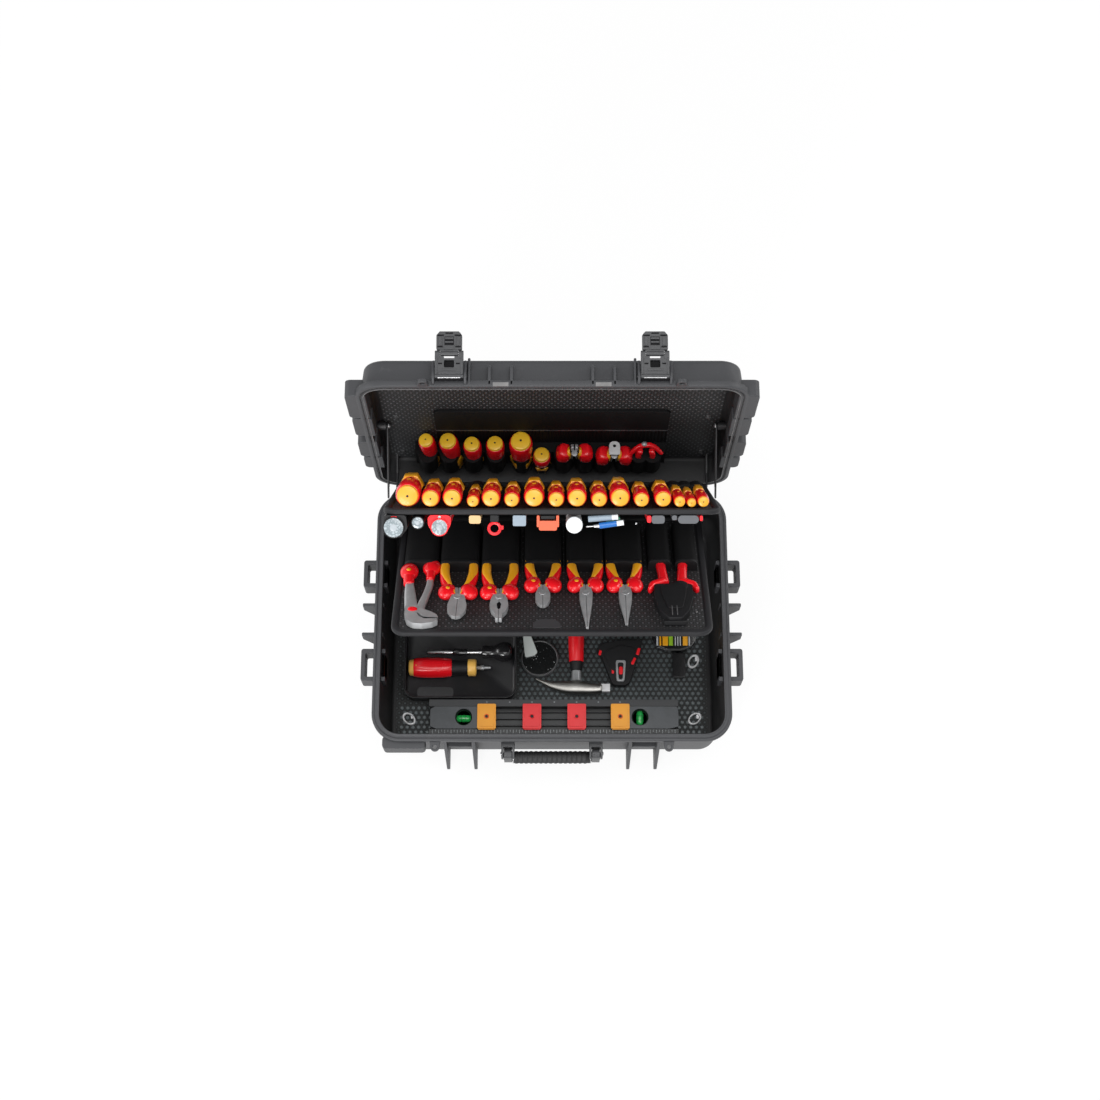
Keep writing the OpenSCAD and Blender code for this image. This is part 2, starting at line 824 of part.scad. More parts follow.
module small_tools() {
  color([0.35, 0.4, 0.5]) on_upper()
    for (i = [0:10])
      translate([small_x[i], -upper_l, under_z])
        if (i == 4 || i == 5 || i == 6 || i == 7)
          translate([0, 0, -small_w[i] / 2]) y_cylinder(small_w[i] / 2, small_l[i]);
        else
          translate([-small_w[i] / 2, 0, -small_t[i]]) cube([small_w[i], small_l[i], small_t[i]]);
}

// ---- stays between the lid and the upper board ----

stay_at = [-186, 33];
stay_l = 106;
stay_lean = -65.4;
stay_x = board_w / 2 + 5.5;

stay_pin_r = 2.5;

// Headed pins on bosses of the lid's side walls
module stay_pins() {
  color("silver") in_lid()
  intersection() {
    for (side = [-1, 1])
      translate([side * stay_x, stay_at[0], stay_at[1]]) {
        translate([side * 8, 0, 0]) x_cylinder(stay_pin_r, 24);
        translate([-side * 3, 0, 0]) x_cylinder(4, 2);
        translate([side * 12, 0, 0]) x_cylinder(6, 18);
      }
    lid_inside();
  }
}

module stay(side) {
  color("silver") in_lid()
  translate([side * (stay_x + 0.5), stay_at[0], stay_at[1]]) rotate([stay_lean, 0, 0])
    difference() {
      union() {
        x_cylinder(5, plate_t);
        translate([-plate_t / 2, 0, -4]) cube([plate_t, stay_l, 8]);
        translate([0, stay_l, 0]) x_cylinder(5, plate_t);
      }
      x_cylinder(stay_pin_r + pin_gap, 10);
    }
}

module stay_left() {
  stay(-1);
}

module stay_right() {
  stay(1);
}

// ---- lower board and its pliers ----

// Steel plates on the base's rear wall that carry the lower board's pins
module lower_pivot_plates() {
  color("silver")
  intersection() {
    at_hinge()
      for (side = [-1, 1])
        translate([side * (side_gap_x + plate_t / 2), lower_pivot[0], lower_pivot[1]]) {
          yz_plate([[-6, -6], [5, -8], [20, -14], [20, 14], [5, 8], [-6, 6]], plate_t);
          translate([-side * 5, 0, 0]) x_cylinder(board_pin_r, 10 + plate_t);
        }
    base_inside();
  }
}

module lower_board() {
  color([0.1, 0.1, 0.1]) on_lower() translate([0, 0, sheet_z]) board_panel(lower_l);
}

module lower_edge() {
  color([0.16, 0.16, 0.17]) on_lower() board_edge(lower_l);
}

// Middle, half spread and head length of each plier, left to right
plier_x = board_fit * [-205, -145, -81, -14, 52, 113];
plier_half = board_fit * [17, 21, 20, 20, 20, 20];
plier_head = [86, 60, 62, 48, 96, 90];
pocket_s = 34;
pocket_l = 106;
pocket_h = 20;
pocket_rim = 10;
pocket_wall = 1.4;
pocket_floor = 1.5;
grip_start = 60;
grip_end = 214;
plier_z = top_z + pocket_floor + run_gap;

module plier_pockets() {
  color([0.06, 0.06, 0.06]) on_lower()
  for (i = [0:5])
    translate([plier_x[i], -pocket_s - pocket_l, top_z])
      difference() {
        translate([-plier_half[i] - pocket_rim, 0, 0])
          cube([2 * (plier_half[i] + pocket_rim), pocket_l, pocket_h]);
        translate([pocket_wall - plier_half[i] - pocket_rim, -1, pocket_floor])
          cube([2 * (plier_half[i] + pocket_rim - pocket_wall), pocket_l - 2, plier_grip_t + 2.4]);
      }
  color([0.06, 0.06, 0.06]) on_lower()
  translate([stripper_x, -pocket_s - pocket_l, top_z])
    difference() {
      translate([-stripper_w / 2, 0, 0]) cube([stripper_w, pocket_l, pocket_h]);
      translate([pocket_wall - stripper_w / 2, -1, pocket_floor])
        cube([stripper_w - 2 * pocket_wall, pocket_l - 2, plier_grip_t + 2.4]);
    }
}

// One bowed grip in the board's plane, s measured from the board's pivot
module grip_outline(half, s_end, inner, outer) {
  polygon([[half - inner, -grip_start], [half + outer, -grip_start], [half + outer, -s_end + 62],
           [half - 2 + outer, -s_end + 40], [6 + outer, -s_end + 6], [5, -s_end], [2.5, -s_end],
           [2.5, -s_end + 9], [half - 6 - inner, -s_end + 42], [half - inner, -s_end + 64]]);
}

module plier_grips() {
  color([0.9, 0.08, 0.12]) on_lower()
  for (i = [0:5], edge = [0, 1])
    translate([plier_x[i], 0, plier_z]) mirror([edge, 0, 0])
      linear_extrude(plier_grip_t) grip_outline(plier_half[i], grip_end, 3.5, 7);
}

// Yellow inlay strips lying on the upper face of the grips
module plier_inlays() {
  color([0.98, 0.7, 0.1]) on_lower()
  for (i = [1:5], edge = [0, 1])
    translate([plier_x[i], 0, plier_z + plier_grip_t]) mirror([edge, 0, 0])
      linear_extrude(0.8)
        polygon([[plier_half[i] + 3, -150], [plier_half[i] + 6, -150], [plier_half[i] + 4, -grip_end + 40],
                 [9, -grip_end + 8], [6, -grip_end + 8], [plier_half[i], -grip_end + 40]]);
}

module plier_heads() {
  color("silver") on_lower()
  for (i = [0:5])
    translate([plier_x[i], -grip_end - run_gap, plier_z + 1]) {
      linear_extrude(head_t)
        polygon([[-6, 0], [6, 0], [11, -10], [10, -24], [4, -plier_head[i]], [-4, -plier_head[i]],
                 [-10, -24], [-11, -10]]);
      translate([0, -14, head_t]) cylinder(r = 6, h = 1);
    }
}

stripper_x = board_fit * 190;
stripper_w = board_fit * 72;

// Automatic wire stripper: two straight grips and a boxy jaw housing
module wire_stripper() {
  color([0.12, 0.12, 0.12]) on_lower()
  translate([stripper_x, 0, plier_z]) {
    for (edge = [-1, 1])
      translate([edge * board_fit * 22 - 8, -206, 0]) cube([16, 146, plier_grip_t]);
    translate([-stripper_w / 3, -268, 0]) cube([stripper_w / 1.5, 62, 15]);
    translate([-stripper_w / 4, -286, 1]) cube([stripper_w / 2, 18, 12]);
  }
}

// ---- loose layer in the base ----

mat_t = 3;
mat_top = floor_z + mat_t;

module floor_mat() {
  color([0.1, 0.1, 0.1])
  translate([0, 0, floor_z])
    slab(floor_w, floor_d, 22, mat_t);
}

level_y = 6 - floor_d / 2;
bin_x = floor_fit * [-240, -57];
bin_y = [level_y + level_w + 2, level_y + level_w + 154];
bin_wall = 2.5;

module tool_bin() {
  color([0.1, 0.09, 0.1])
  translate([bin_x[0], bin_y[0], mat_top])
    difference() {
      cube([bin_x[1] - bin_x[0], bin_y[1] - bin_y[0], bin_h]);
      translate([bin_wall, bin_wall, bin_wall])
        cube([bin_x[1] - bin_x[0] - 2 * bin_wall, bin_y[1] - bin_y[0] - 2 * bin_wall, bin_h]);
    }
}

ring_x = floor_w / 2 - 21;
ring_at = [[-ring_x, level_y + 32], [ring_x, level_y + 32], [ring_x, level_y + level_w + 70]];

// Finger rings that lift the floor tray
module pull_rings() {
  color("silver")
  for (p = ring_at)
    translate([p[0], p[1], mat_top]) rotate_extrude() translate([9, 1.6]) circle(1.6, $fn = 24);
}

driver_y = bin_y[0] + 53;
driver_r = 17;
bin_top = mat_top + bin_wall;

module handle_driver() {
  color([0.9, 0.08, 0.12])
  translate([bin_x[0] + 8, driver_y, bin_top + driver_r]) rotate([0, 90, 0]) cylinder(r = driver_r, h = 94);
}

module driver_collar() {
  color([0.98, 0.7, 0.1])
  translate([bin_x[0] + 102, driver_y, bin_top + driver_r]) rotate([0, 90, 0]) cylinder(r = 14, h = 15);
}

module extension_blade() {
  color([0.15, 0.15, 0.15])
  translate([bin_x[1] - 11, bin_y[0] + 82, bin_top + 10]) rotate([0, -90, 0]) {
    cylinder(r = 10, h = 50);
    cylinder(r = 3.5, h = bin_x[1] - bin_x[0] - 46);
  }
}

module inspection_mirror() {
  color([0.12, 0.12, 0.12])
  translate([floor_fit * -20, level_y + 131, mat_top]) {
    cylinder(r = 31, h = 12);
    translate([-26, 2, 12]) cube([18, 40, 4]);
  }
}

hammer_x = floor_fit * 40;
hammer_y = level_y + 83;
hammer_z = mat_top + 13;

module hammer_handle() {
  color([0.85, 0.08, 0.1])
  translate([hammer_x, hammer_y + 41, hammer_z]) rotate([-90, 0, 0]) {
    cylinder(r = 13, h = 150);
    translate([0, 0, -28]) cylinder(r = 8, h = 28);
  }
}

// Double-ended head with a curved, tapering peen on each side
module hammer_head() {
  color("silver")
  translate([hammer_x, hammer_y, mat_top])
    linear_extrude(18)
      polygon([[-14, 12.9], [14, 12.9], [30, 8], [56, 2], [56, -2], [28, -5], [0, -7], [-34, -8], [-62, -12],
               [-62, -8], [-32, 6]]);
}

module cable_stripper() {
  color([0.1, 0.1, 0.1])
  translate([floor_fit * 110, level_y + 124, mat_top])
    linear_extrude(20)
      polygon([[-38, 4], [-30, 12], [0, 26], [30, 38], [38, 32], [34, 4], [22, -36], [8, -40], [-8, -12],
               [-30, -8]]);
}

module bit_box() {
  color([0.12, 0.12, 0.12]) {
    translate([floor_fit * 164, level_y + 142, mat_top]) cube([floor_fit * 72, 44, 22]);
    translate([floor_fit * 197, level_y + 98, mat_top]) cube([floor_fit * 21, 41, 16]);
  }
}

level_z = mat_top + 0.3;
vial_x = level_l / 2 - 59;
vial_r = 14;
clip_x = floor_fit * [-105, -32, 40, 110];
clip_w = 30;

module level_body() {
  color([0.2, 0.2, 0.21])
  difference() {
    translate([-level_l / 2 + 3, level_y, level_z]) cube([level_l, level_w, level_t]);
    for (side = [-1, 1])
      translate([side * vial_x, level_y + level_w / 2, level_z - 1]) cylinder(r = vial_r, h = level_t + 2);
  }
}

module level_vials() {
  color([0.2, 0.9, 0.3, 0.7])
  for (side = [-1, 1])
    translate([side * vial_x, level_y + level_w / 2, level_z]) cylinder(r = vial_r - 0.2, h = level_t - 4);
}

module level_clips() {
  color([0.98, 0.7, 0.1])
  for (x = clip_x)
    translate([x - clip_w / 2, level_y + 4, level_z + level_t])
      difference() {
        cube([clip_w, level_w - 12, 6]);
        translate([clip_w / 2, level_w / 2 - 6, 2]) cylinder(r = 2.5, h = 5);
      }
}

base_shell();
base_fittings();
side_loops();
hinge_pins();
handle_brackets();
handle_pins();
carry_handle();
handle_grip();
lid_shell();
lid_fittings();
rim_seal();
latch_pins();
lever_left();
lever_right();
hook_left();
hook_right();
lid_panel();
panel_screws();
lid_pocket();
lid_tool_strip();
lid_driver_grips();
lid_driver_caps();
lid_plier_grips();
lid_plier_heads();
upper_pivot_plates();
stay_pins();
stay_left();
stay_right();
upper_board();
upper_edge();
upper_tool_comb();
upper_driver_grips();
upper_driver_caps();
upper_driver_collars();
upper_driver_blades();
torch_bodies();
torch_lenses();
small_tools();
lower_pivot_plates();
lower_board();
lower_edge();
plier_pockets();
plier_grips();
plier_inlays();
plier_heads();
wire_stripper();
floor_mat();
tool_bin();
pull_rings();
handle_driver();
driver_collar();
extension_blade();
inspection_mirror();
hammer_handle();
hammer_head();
cable_stripper();
bit_box();
level_body();
level_vials();
level_clips();
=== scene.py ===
import json
import math

import bpy
import numpy as np
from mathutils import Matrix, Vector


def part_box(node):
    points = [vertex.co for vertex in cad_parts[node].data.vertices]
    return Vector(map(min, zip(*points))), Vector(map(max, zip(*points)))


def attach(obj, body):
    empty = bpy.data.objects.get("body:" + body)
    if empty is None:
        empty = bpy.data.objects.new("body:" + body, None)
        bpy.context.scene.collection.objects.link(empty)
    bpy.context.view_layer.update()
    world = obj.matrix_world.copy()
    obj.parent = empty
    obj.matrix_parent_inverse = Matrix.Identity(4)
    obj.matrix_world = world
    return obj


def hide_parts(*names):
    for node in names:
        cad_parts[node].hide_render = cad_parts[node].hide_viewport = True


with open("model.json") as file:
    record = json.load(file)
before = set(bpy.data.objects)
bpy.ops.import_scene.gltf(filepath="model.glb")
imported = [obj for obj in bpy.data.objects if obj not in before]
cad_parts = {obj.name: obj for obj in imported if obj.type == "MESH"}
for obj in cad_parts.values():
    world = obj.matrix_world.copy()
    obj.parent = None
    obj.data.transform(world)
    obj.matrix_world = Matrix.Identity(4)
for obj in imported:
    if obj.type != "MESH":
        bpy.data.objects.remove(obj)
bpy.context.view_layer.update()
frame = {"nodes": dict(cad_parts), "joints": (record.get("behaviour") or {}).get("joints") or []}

# ---------------------------------------------------------------------------
# Where things sit. The case stands open, so each moving tray or lid has its own
# seat: a level drawing position in millimetres that is turned into the open case.
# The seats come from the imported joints, so they follow the model.
joint_at = {joint["name"]: joint for joint in frame["joints"]}
MM = 0.001


class Seat:
    """A place to draw in: x to the right, y towards the hinges and z up, in millimetres, as if the
    piece lay level. The drawing is turned about X by tilt degrees and set down at origin."""

    def __init__(self, origin, tilt):
        turn = math.radians(tilt)
        self.origin = np.array(origin, float)
        self.back = np.array([0.0, math.cos(turn), math.sin(turn)])
        self.up = np.array([0.0, -math.sin(turn), math.cos(turn)])

    def place(self, points):
        """Points of the drawing, in millimetres, set into the open case in metres."""
        points = np.asarray(points, float) * MM
        across = points[:, :1] * [1.0, 0, 0]
        return self.origin + across + points[:, 1:2] * self.back + points[:, 2:] * self.up


hinge = joint_at["lid_hinge"]["pos_m"]
upper_open = -joint_at["upper_board_swing"]["range_deg"][0]
lower_open = joint_at["lower_board_swing"]["range_deg"][1]
in_base = Seat((0, 0, 0), 0)
in_lid = Seat((0, hinge[1], hinge[2]), -90)
on_upper = Seat([0] + joint_at["upper_board_swing"]["pos_m"][1:], upper_open - 90)
on_lower = Seat([0] + joint_at["lower_board_swing"]["pos_m"][1:], -lower_open)

# ---------------------------------------------------------------------------
# The photographer's table, lamps and camera: a pale floor, a wide soft box
# overhead, and the lens well above the front edge of the case looking down.


class Value:
    """Wraps a shader socket so that sums on values read as Python and add Math nodes."""

    def __init__(self, finish, socket):
        self.finish = finish
        self.socket = socket

    def __add__(self, other):
        return self.finish.math("ADD", self, other)

    def __radd__(self, other):
        return self.finish.math("ADD", other, self)

    def __sub__(self, other):
        return self.finish.math("SUBTRACT", self, other)

    def __rsub__(self, other):
        return self.finish.math("SUBTRACT", other, self)

    def __mul__(self, other):
        return self.finish.math("MULTIPLY", self, other)

    def __rmul__(self, other):
        return self.finish.math("MULTIPLY", other, self)

    def __truediv__(self, other):
        return self.finish.math("DIVIDE", self, other)


class Finish:
    """One surface finish: a material with a Principled shader and the nodes that vary it."""

    def __init__(self, name, color, roughness, metallic=0.0, coat=0.0, coat_roughness=0.1, **constants):
        self.material = bpy.data.materials.new(name)
        self.material.use_nodes = True
        self.tree = self.material.node_tree
        self.shader = self.tree.nodes["Principled BSDF"]
        self.shader.inputs["Base Color"].default_value = (*color, 1)
        self.shader.inputs["Roughness"].default_value = roughness
        self.shader.inputs["Metallic"].default_value = metallic
        self.shader.inputs["Coat Weight"].default_value = coat
        self.shader.inputs["Coat Roughness"].default_value = coat_roughness
        for socket, value in constants.items():
            self.shader.inputs[socket].default_value = value
        self.color = color

    def node(self, kind, settings=None, inputs=None, output=0):
        """Adds a node, sets its settings first and then its sockets' values or links."""
        node = self.tree.nodes.new(kind)
        for key, value in (settings or {}).items():
            if key == "stops":
                ramp = node.color_ramp
                while len(ramp.elements) < len(value):
                    ramp.elements.new(0.5)
                for element, (position, shade) in zip(ramp.elements, value):
                    element.position = position
                    element.color = (*shade, 1) if len(shade) == 3 else shade
            else:
                setattr(node, key, value)
        for key, value in (inputs or {}).items():
            if isinstance(value, Value):
                self.tree.links.new(value.socket, node.inputs[key])
            elif value is not None:
                node.inputs[key].default_value = value
        return Value(self, node.outputs[output])

    def math(self, operation, first, second=None):
        """One Math node on one or two values."""
        return self.node("ShaderNodeMath", {"operation": operation}, {0: first, 1: second})

    def position(self, scale=(1, 1, 1), turn=(0, 0, 0)):
        """Object coordinates in metres, turned and scaled."""
        at = self.node("ShaderNodeTexCoord", output="Object")
        return self.node("ShaderNodeMapping", {}, {"Vector": at, "Scale": scale, "Rotation": turn})

    def noise(self, at, scale, detail=3.0, roughness=0.5):
        """A soft random cloud between 0 and 1, with scale cells to the metre."""
        return self.node("ShaderNodeTexNoise", {}, {"Vector": at, "Scale": scale, "Detail": detail,
                                                    "Roughness": roughness})

    def blend(self, factor, first, second):
        """A colour between first and second."""
        mix = self.tree.nodes.new("ShaderNodeMix")
        mix.data_type = "RGBA"
        for index, value in ((0, factor), (6, first), (7, second)):
            if isinstance(value, Value):
                self.tree.links.new(value.socket, mix.inputs[index])
            else:
                mix.inputs[index].default_value = (*value, 1) if isinstance(value, tuple) else value
        return Value(self, mix.outputs[2])

    def plane(self, seat):
        """Distances across and along a seat, in millimetres."""
        at = self.tree.nodes.new("ShaderNodeTexCoord")
        split = self.tree.nodes.new("ShaderNodeSeparateXYZ")
        self.tree.links.new(at.outputs["Object"], split.inputs[0])
        x, y, z = (Value(self, split.outputs[i]) for i in range(3))
        return x * 1000, y * (1000 * seat.back[1]) + z * (1000 * seat.back[2])

    def lattice(self, across, along, pitch):
        """Distance to the nearest point of a hexagonal lattice, as a share of its pitch: the nearer of
        two square-on lattices, one moved by half a cell each way."""
        tall = pitch * math.sqrt(3)

        def near(shift):
            side = self.math("FLOORED_MODULO", across + shift * pitch, pitch) - pitch / 2
            up = self.math("FLOORED_MODULO", along + shift * tall, tall) - tall / 2
            return side * side + up * up

        return self.math("SQRT", self.math("MINIMUM", near(0), near(0.5))) / pitch

    def ramp(self, factor, low, high):
        """0 at low, 1 at high, straight between and clamped."""
        return self.node("ShaderNodeMapRange", {}, {"Value": factor, "From Min": low, "From Max": high})

    def drive(self, **links):
        """Links values to the shader's sockets; an underscore stands for a space."""
        for socket, value in links.items():
            self.tree.links.new(value.socket, self.shader.inputs[socket.replace("_", " ")])

    def bump(self, height, distance, strength=1.0):
        """Relief from a height between 0 and 1, distance metres deep."""
        normal = self.node("ShaderNodeBump", {},
                           {"Height": height, "Distance": distance, "Strength": strength}, output="Normal")
        self.drive(Normal=normal)


def floor_finish():
    """A pale floor that keeps the shadow, and shows white where the lens or a mirror sees it."""
    finish = Finish("studio_floor", (0.9, 0.9, 0.9), 0.85)
    rays = finish.tree.nodes.new("ShaderNodeLightPath").outputs
    seen = finish.math("MAXIMUM", Value(finish, rays["Is Camera Ray"]), Value(finish, rays["Is Glossy Ray"]))
    seen = finish.math("MAXIMUM", seen, Value(finish, rays["Is Transmission Ray"]))
    glow = finish.node("ShaderNodeEmission", {}, {"Color": (1, 1, 1, 1), "Strength": 1.0})
    share = seen * 0.9
    mixed = finish.node("ShaderNodeMixShader", {},
                        {0: share, 1: Value(finish, finish.shader.outputs[0]), 2: glow})
    out = finish.tree.nodes["Material Output"]
    finish.tree.links.new(mixed.socket, out.inputs["Surface"])
    return finish.material


scene = bpy.context.scene
scene.view_settings.view_transform = "Standard"

floor_mesh = bpy.data.meshes.new("studio_floor")
floor_mesh.from_pydata([(-6, -6, 0), (6, -6, 0), (6, 6, 0), (-6, 6, 0)], [], [(0, 1, 2, 3)])
floor_mesh.materials.append(floor_finish())
studio_floor = bpy.data.objects.new("studio_floor", floor_mesh)
scene.collection.objects.link(studio_floor)

world = bpy.data.worlds.new("studio")
scene.world = world
world.use_nodes = True
world_nodes = world.node_tree
background = world_nodes.nodes["Background"]
background.inputs["Color"].default_value = (1, 1, 1, 1)
background.inputs["Strength"].default_value = 0.55
white_sky = world_nodes.nodes.new("ShaderNodeBackground")
white_sky.inputs["Color"].default_value = (1, 1, 1, 1)
sky_rays = world_nodes.nodes.new("ShaderNodeLightPath")
sky_mix = world_nodes.nodes.new("ShaderNodeMixShader")
world_nodes.links.new(sky_rays.outputs["Is Camera Ray"], sky_mix.inputs[0])
world_nodes.links.new(background.outputs[0], sky_mix.inputs[1])
world_nodes.links.new(white_sky.outputs[0], sky_mix.inputs[2])
world_nodes.links.new(sky_mix.outputs[0], world_nodes.nodes["World Output"].inputs[0])


def soft_box(name, at, aim, size, power):
    """A square lamp at a point, its face towards aim."""
    lamp = bpy.data.lights.new(name, "AREA")
    lamp.shape = "SQUARE"
    lamp.size = size
    lamp.energy = power
    holder = bpy.data.objects.new(name, lamp)
    holder.location = at
    toward = np.array(aim, float) - np.array(at, float)
    toward /= np.linalg.norm(toward)
    pitch = math.acos(-toward[2])
    heading = math.atan2(toward[0], -toward[1]) if pitch > 1e-6 else 0.0
    holder.rotation_euler = (pitch, 0, heading + math.pi)
    scene.collection.objects.link(holder)


soft_box("lamp_over", (0.2, -0.2, 2.6), (0, 0, 0.1), 1.8, 29)
soft_box("lamp_front", (-0.9, -2.4, 1.7), (0, 0, 0.15), 1.2, 55)
soft_box("lamp_left", (-2.2, 0.3, 1.5), (0, 0, 0.2), 1.0, 18)
soft_box("lamp_right", (2.2, 0.9, 1.4), (0, 0, 0.2), 1.0, 16)

# The lens stands this far in front of and above the hinge line, tipped down by camera_down
camera_front = 1.00364
camera_height = 2.76515
camera_side = -0.003
camera_down = 72.0
lens_mm = 59.63
camera_data = bpy.data.cameras.new("camera")
camera_data.lens = lens_mm
camera_data.sensor_width = 36
camera = bpy.data.objects.new("camera", camera_data)
camera.location = (camera_side, hinge[1] - camera_front, hinge[2] + camera_height)
camera.rotation_euler = (math.radians(90 - camera_down), 0, 0)
scene.collection.objects.link(camera)
scene.camera = camera

# ---------------------------------------------------------------------------
# Base of the case: one thick tub of dark grey structural plastic, moulded with
# drafted walls, a broad rim flange for the seal, and stiffening ribs outside.


def rounded_rectangle(width, depth, radius, steps=14):
    """Points round a rectangle whose corners are quarter circles, counter-clockwise from the right."""
    quarter = np.linspace(0, math.pi / 2, steps)
    corners = [(1, 1, 0), (-1, 1, 1), (-1, -1, 2), (1, -1, 3)]
    points = []
    for side_x, side_y, quarters in corners:
        angle = quarter + quarters * math.pi / 2
        points.append(np.stack([side_x * (width / 2 - radius) + radius * np.cos(angle),
                                side_y * (depth / 2 - radius) + radius * np.sin(angle)], axis=1))
    return np.concatenate(points)


def grid_faces(rows, columns, wrap_rows=False, wrap_columns=True):
    """Quads between neighbouring rows and columns of a grid of points."""
    row = np.arange(rows if wrap_rows else rows - 1)
    column = np.arange(columns if wrap_columns else columns - 1)
    row, column = np.meshgrid(row, column, indexing="ij")
    next_row = (row + 1) % rows
    next_column = (column + 1) % columns
    return np.stack([row * columns + column, row * columns + next_column, next_row * columns + next_column,
                     next_row * columns + column], axis=-1).reshape(-1, 4)


def tube_faces(rows, columns):
    """The quads of a grid closed round its columns, and a flat face over its first and last rows."""
    ends = [list(range(columns))[::-1], list(range((rows - 1) * columns, rows * columns))]
    return grid_faces(rows, columns).tolist() + ends


def carry_round(profile, width, depth, radius, y=0.0, closed=False, steps=14):
    """A profile of (offset outwards, height) pairs carried round a rounded rectangle. The offset
    grows the rectangle and its corner radius alike. An open profile is closed by two flat faces."""
    rings = []
    for offset, height in profile:
        ring = rounded_rectangle(width + 2 * offset, depth + 2 * offset, max(radius + offset, 0.5), steps)
        rings.append(np.column_stack([ring[:, 0], ring[:, 1] + y, np.full(len(ring), height)]))
    count = len(rings[0])
    if closed:
        return np.concatenate(rings), grid_faces(len(rings), count, wrap_rows=True).tolist()
    return np.concatenate(rings), tube_faces(len(rings), count)


def arc(center, radius, start, end, steps=5):
    """Points on a circle from start to end, in degrees."""
    angle = np.radians(np.linspace(start, end, steps))
    return [(center[0] + radius * math.cos(a), center[1] + radius * math.sin(a)) for a in angle]


def turned_over(surface):
    """The same surface with its faces seen from the other side."""
    points, faces = surface
    return points, [list(face)[::-1] for face in faces]


def flipped(surface):
    """A surface mirrored left to right, its faces still outwards."""
    points, faces = surface
    return points * [-1, 1, 1], [list(face)[::-1] for face in faces]


def moved(surface, x=0.0, y=0.0, z=0.0):
    """A surface shifted in millimetres."""
    return surface[0] + [x, y, z], surface[1]


def build(name, seat, groups, body, nodes=(), marked=None, sharp=40, bevel=0.0, segments=2):
    """Joins surfaces drawn in a seat into one piece. groups pairs each finish with its surfaces; marked is
    a finish and a test of the points and faces that picks the faces that take it instead."""
    surfaces = [surface for _, group in groups for surface in group]
    points = np.concatenate([surface[0] for surface in surfaces])
    faces, finish_of = [], []
    start = 0
    for index, (_, group) in enumerate(groups):
        for corners, group_faces in group:
            faces += [[start + i for i in face] for face in group_faces]
            finish_of += [index] * len(group_faces)
            start += len(corners)
    mesh = bpy.data.meshes.new(name)
    mesh.from_pydata(seat.place(points).tolist(), [], faces)
    for finish, _ in groups:
        mesh.materials.append(finish.material)
    finish_of = np.array(finish_of, dtype=np.int32)
    if marked:
        mesh.materials.append(marked[0].material)
        finish_of[marked[1](points, faces)] = len(groups)
    mesh.polygons.foreach_set("material_index", finish_of)
    mesh.shade_smooth()
    mesh.set_sharp_from_angle(angle=math.radians(sharp))
    mesh.update()
    piece = bpy.data.objects.new(name, mesh)
    scene.collection.objects.link(piece)
    if bevel:
        rounding = piece.modifiers.new("rounding", "BEVEL")
        rounding.width = bevel * MM
        rounding.segments = segments
        rounding.limit_method = "ANGLE"
        rounding.angle_limit = math.radians(38)
        rounding.harden_normals = True
    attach(piece, body)
    if nodes:
        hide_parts(*nodes)
    return piece


def rounded(points, radii, steps=5):
    """A polygon with its corners replaced by arcs that touch both sides. radii is one size or a list."""
    points = [np.array(p, float) for p in points]
    radii = radii if isinstance(radii, (list, tuple)) else [radii] * len(points)
    outline = []
    for i, (corner, radius) in enumerate(zip(points, radii)):
        before = points[i - 1] - corner
        after = points[(i + 1) % len(points)] - corner
        long_before, long_after = np.linalg.norm(before), np.linalg.norm(after)
        before, after = before / long_before, after / long_after
        half = math.acos(np.clip(before @ after, -1, 1)) / 2
        if radius <= 0 or half > 1.55:
            outline.append(corner)
            continue
        reach = min(radius / math.tan(half), 0.48 * long_before, 0.48 * long_after)
        size = reach * math.tan(half)
        middle = corner + (before + after) / np.linalg.norm(before + after) * (size / math.sin(half))
        first = corner + before * reach - middle
        last = corner + after * reach - middle
        start = math.atan2(first[1], first[0])
        sweep = (math.atan2(last[1], last[0]) - start + math.pi) % (2 * math.pi) - math.pi
        outline += [middle + size * np.array([math.cos(start + sweep * t), math.sin(start + sweep * t)])
                    for t in np.linspace(0, 1, steps)]
    return np.array(outline)


def rounded_box(left, front, right, back, radii, steps=5):
    """A rectangle between two corners, its own corners rounded from the front left one on."""
    return rounded([(left, front), (right, front), (right, back), (left, back)], radii, steps)


def extrude(outline, low, high):
    """A flat outline in x and y raised from low to high, with flat ends."""
    outline = np.asarray(outline, float)
    area = np.sum(outline[:, 0] * np.roll(outline[:, 1], -1) - np.roll(outline[:, 0], -1) * outline[:, 1])
    if area < 0:
        outline = outline[::-1]
    count = len(outline)
    points = np.concatenate([np.column_stack([outline, np.full(count, low)]),
                             np.column_stack([outline, np.full(count, high)])])
    return points, tube_faces(2, count)


def side_plate(outline, x, thickness):
    """An outline in y and z, made a plate across x."""
    points, faces = extrude(outline, -thickness / 2, thickness / 2)
    return np.column_stack([points[:, 2] + x, points[:, 0], points[:, 1]]), faces


def block(low, high):
    """A box between two corners."""
    (left, front, bottom), (right, back, top) = low, high
    return extrude([(left, front), (right, front), (right, back), (left, back)], bottom, top)


def rod(start, end, radius, steps=24):
    """A straight round bar with flat ends; two radii make it a cone."""
    start, end = np.array(start, float), np.array(end, float)
    radii = radius if isinstance(radius, (list, tuple)) else (radius, radius)
    along = (end - start) / np.linalg.norm(end - start)
    side = np.cross(along, [0, 0, 1.0]) if abs(along[2]) < 0.9 else np.cross(along, [1.0, 0, 0])
    side /= np.linalg.norm(side)
    across = np.cross(along, side)
    angle = np.linspace(0, 2 * math.pi, steps, endpoint=False)[:, None]
    ring = np.cos(angle) * side + np.sin(angle) * across
    points = np.concatenate([start + radii[0] * ring, end + radii[1] * ring])
    return points, tube_faces(2, steps)


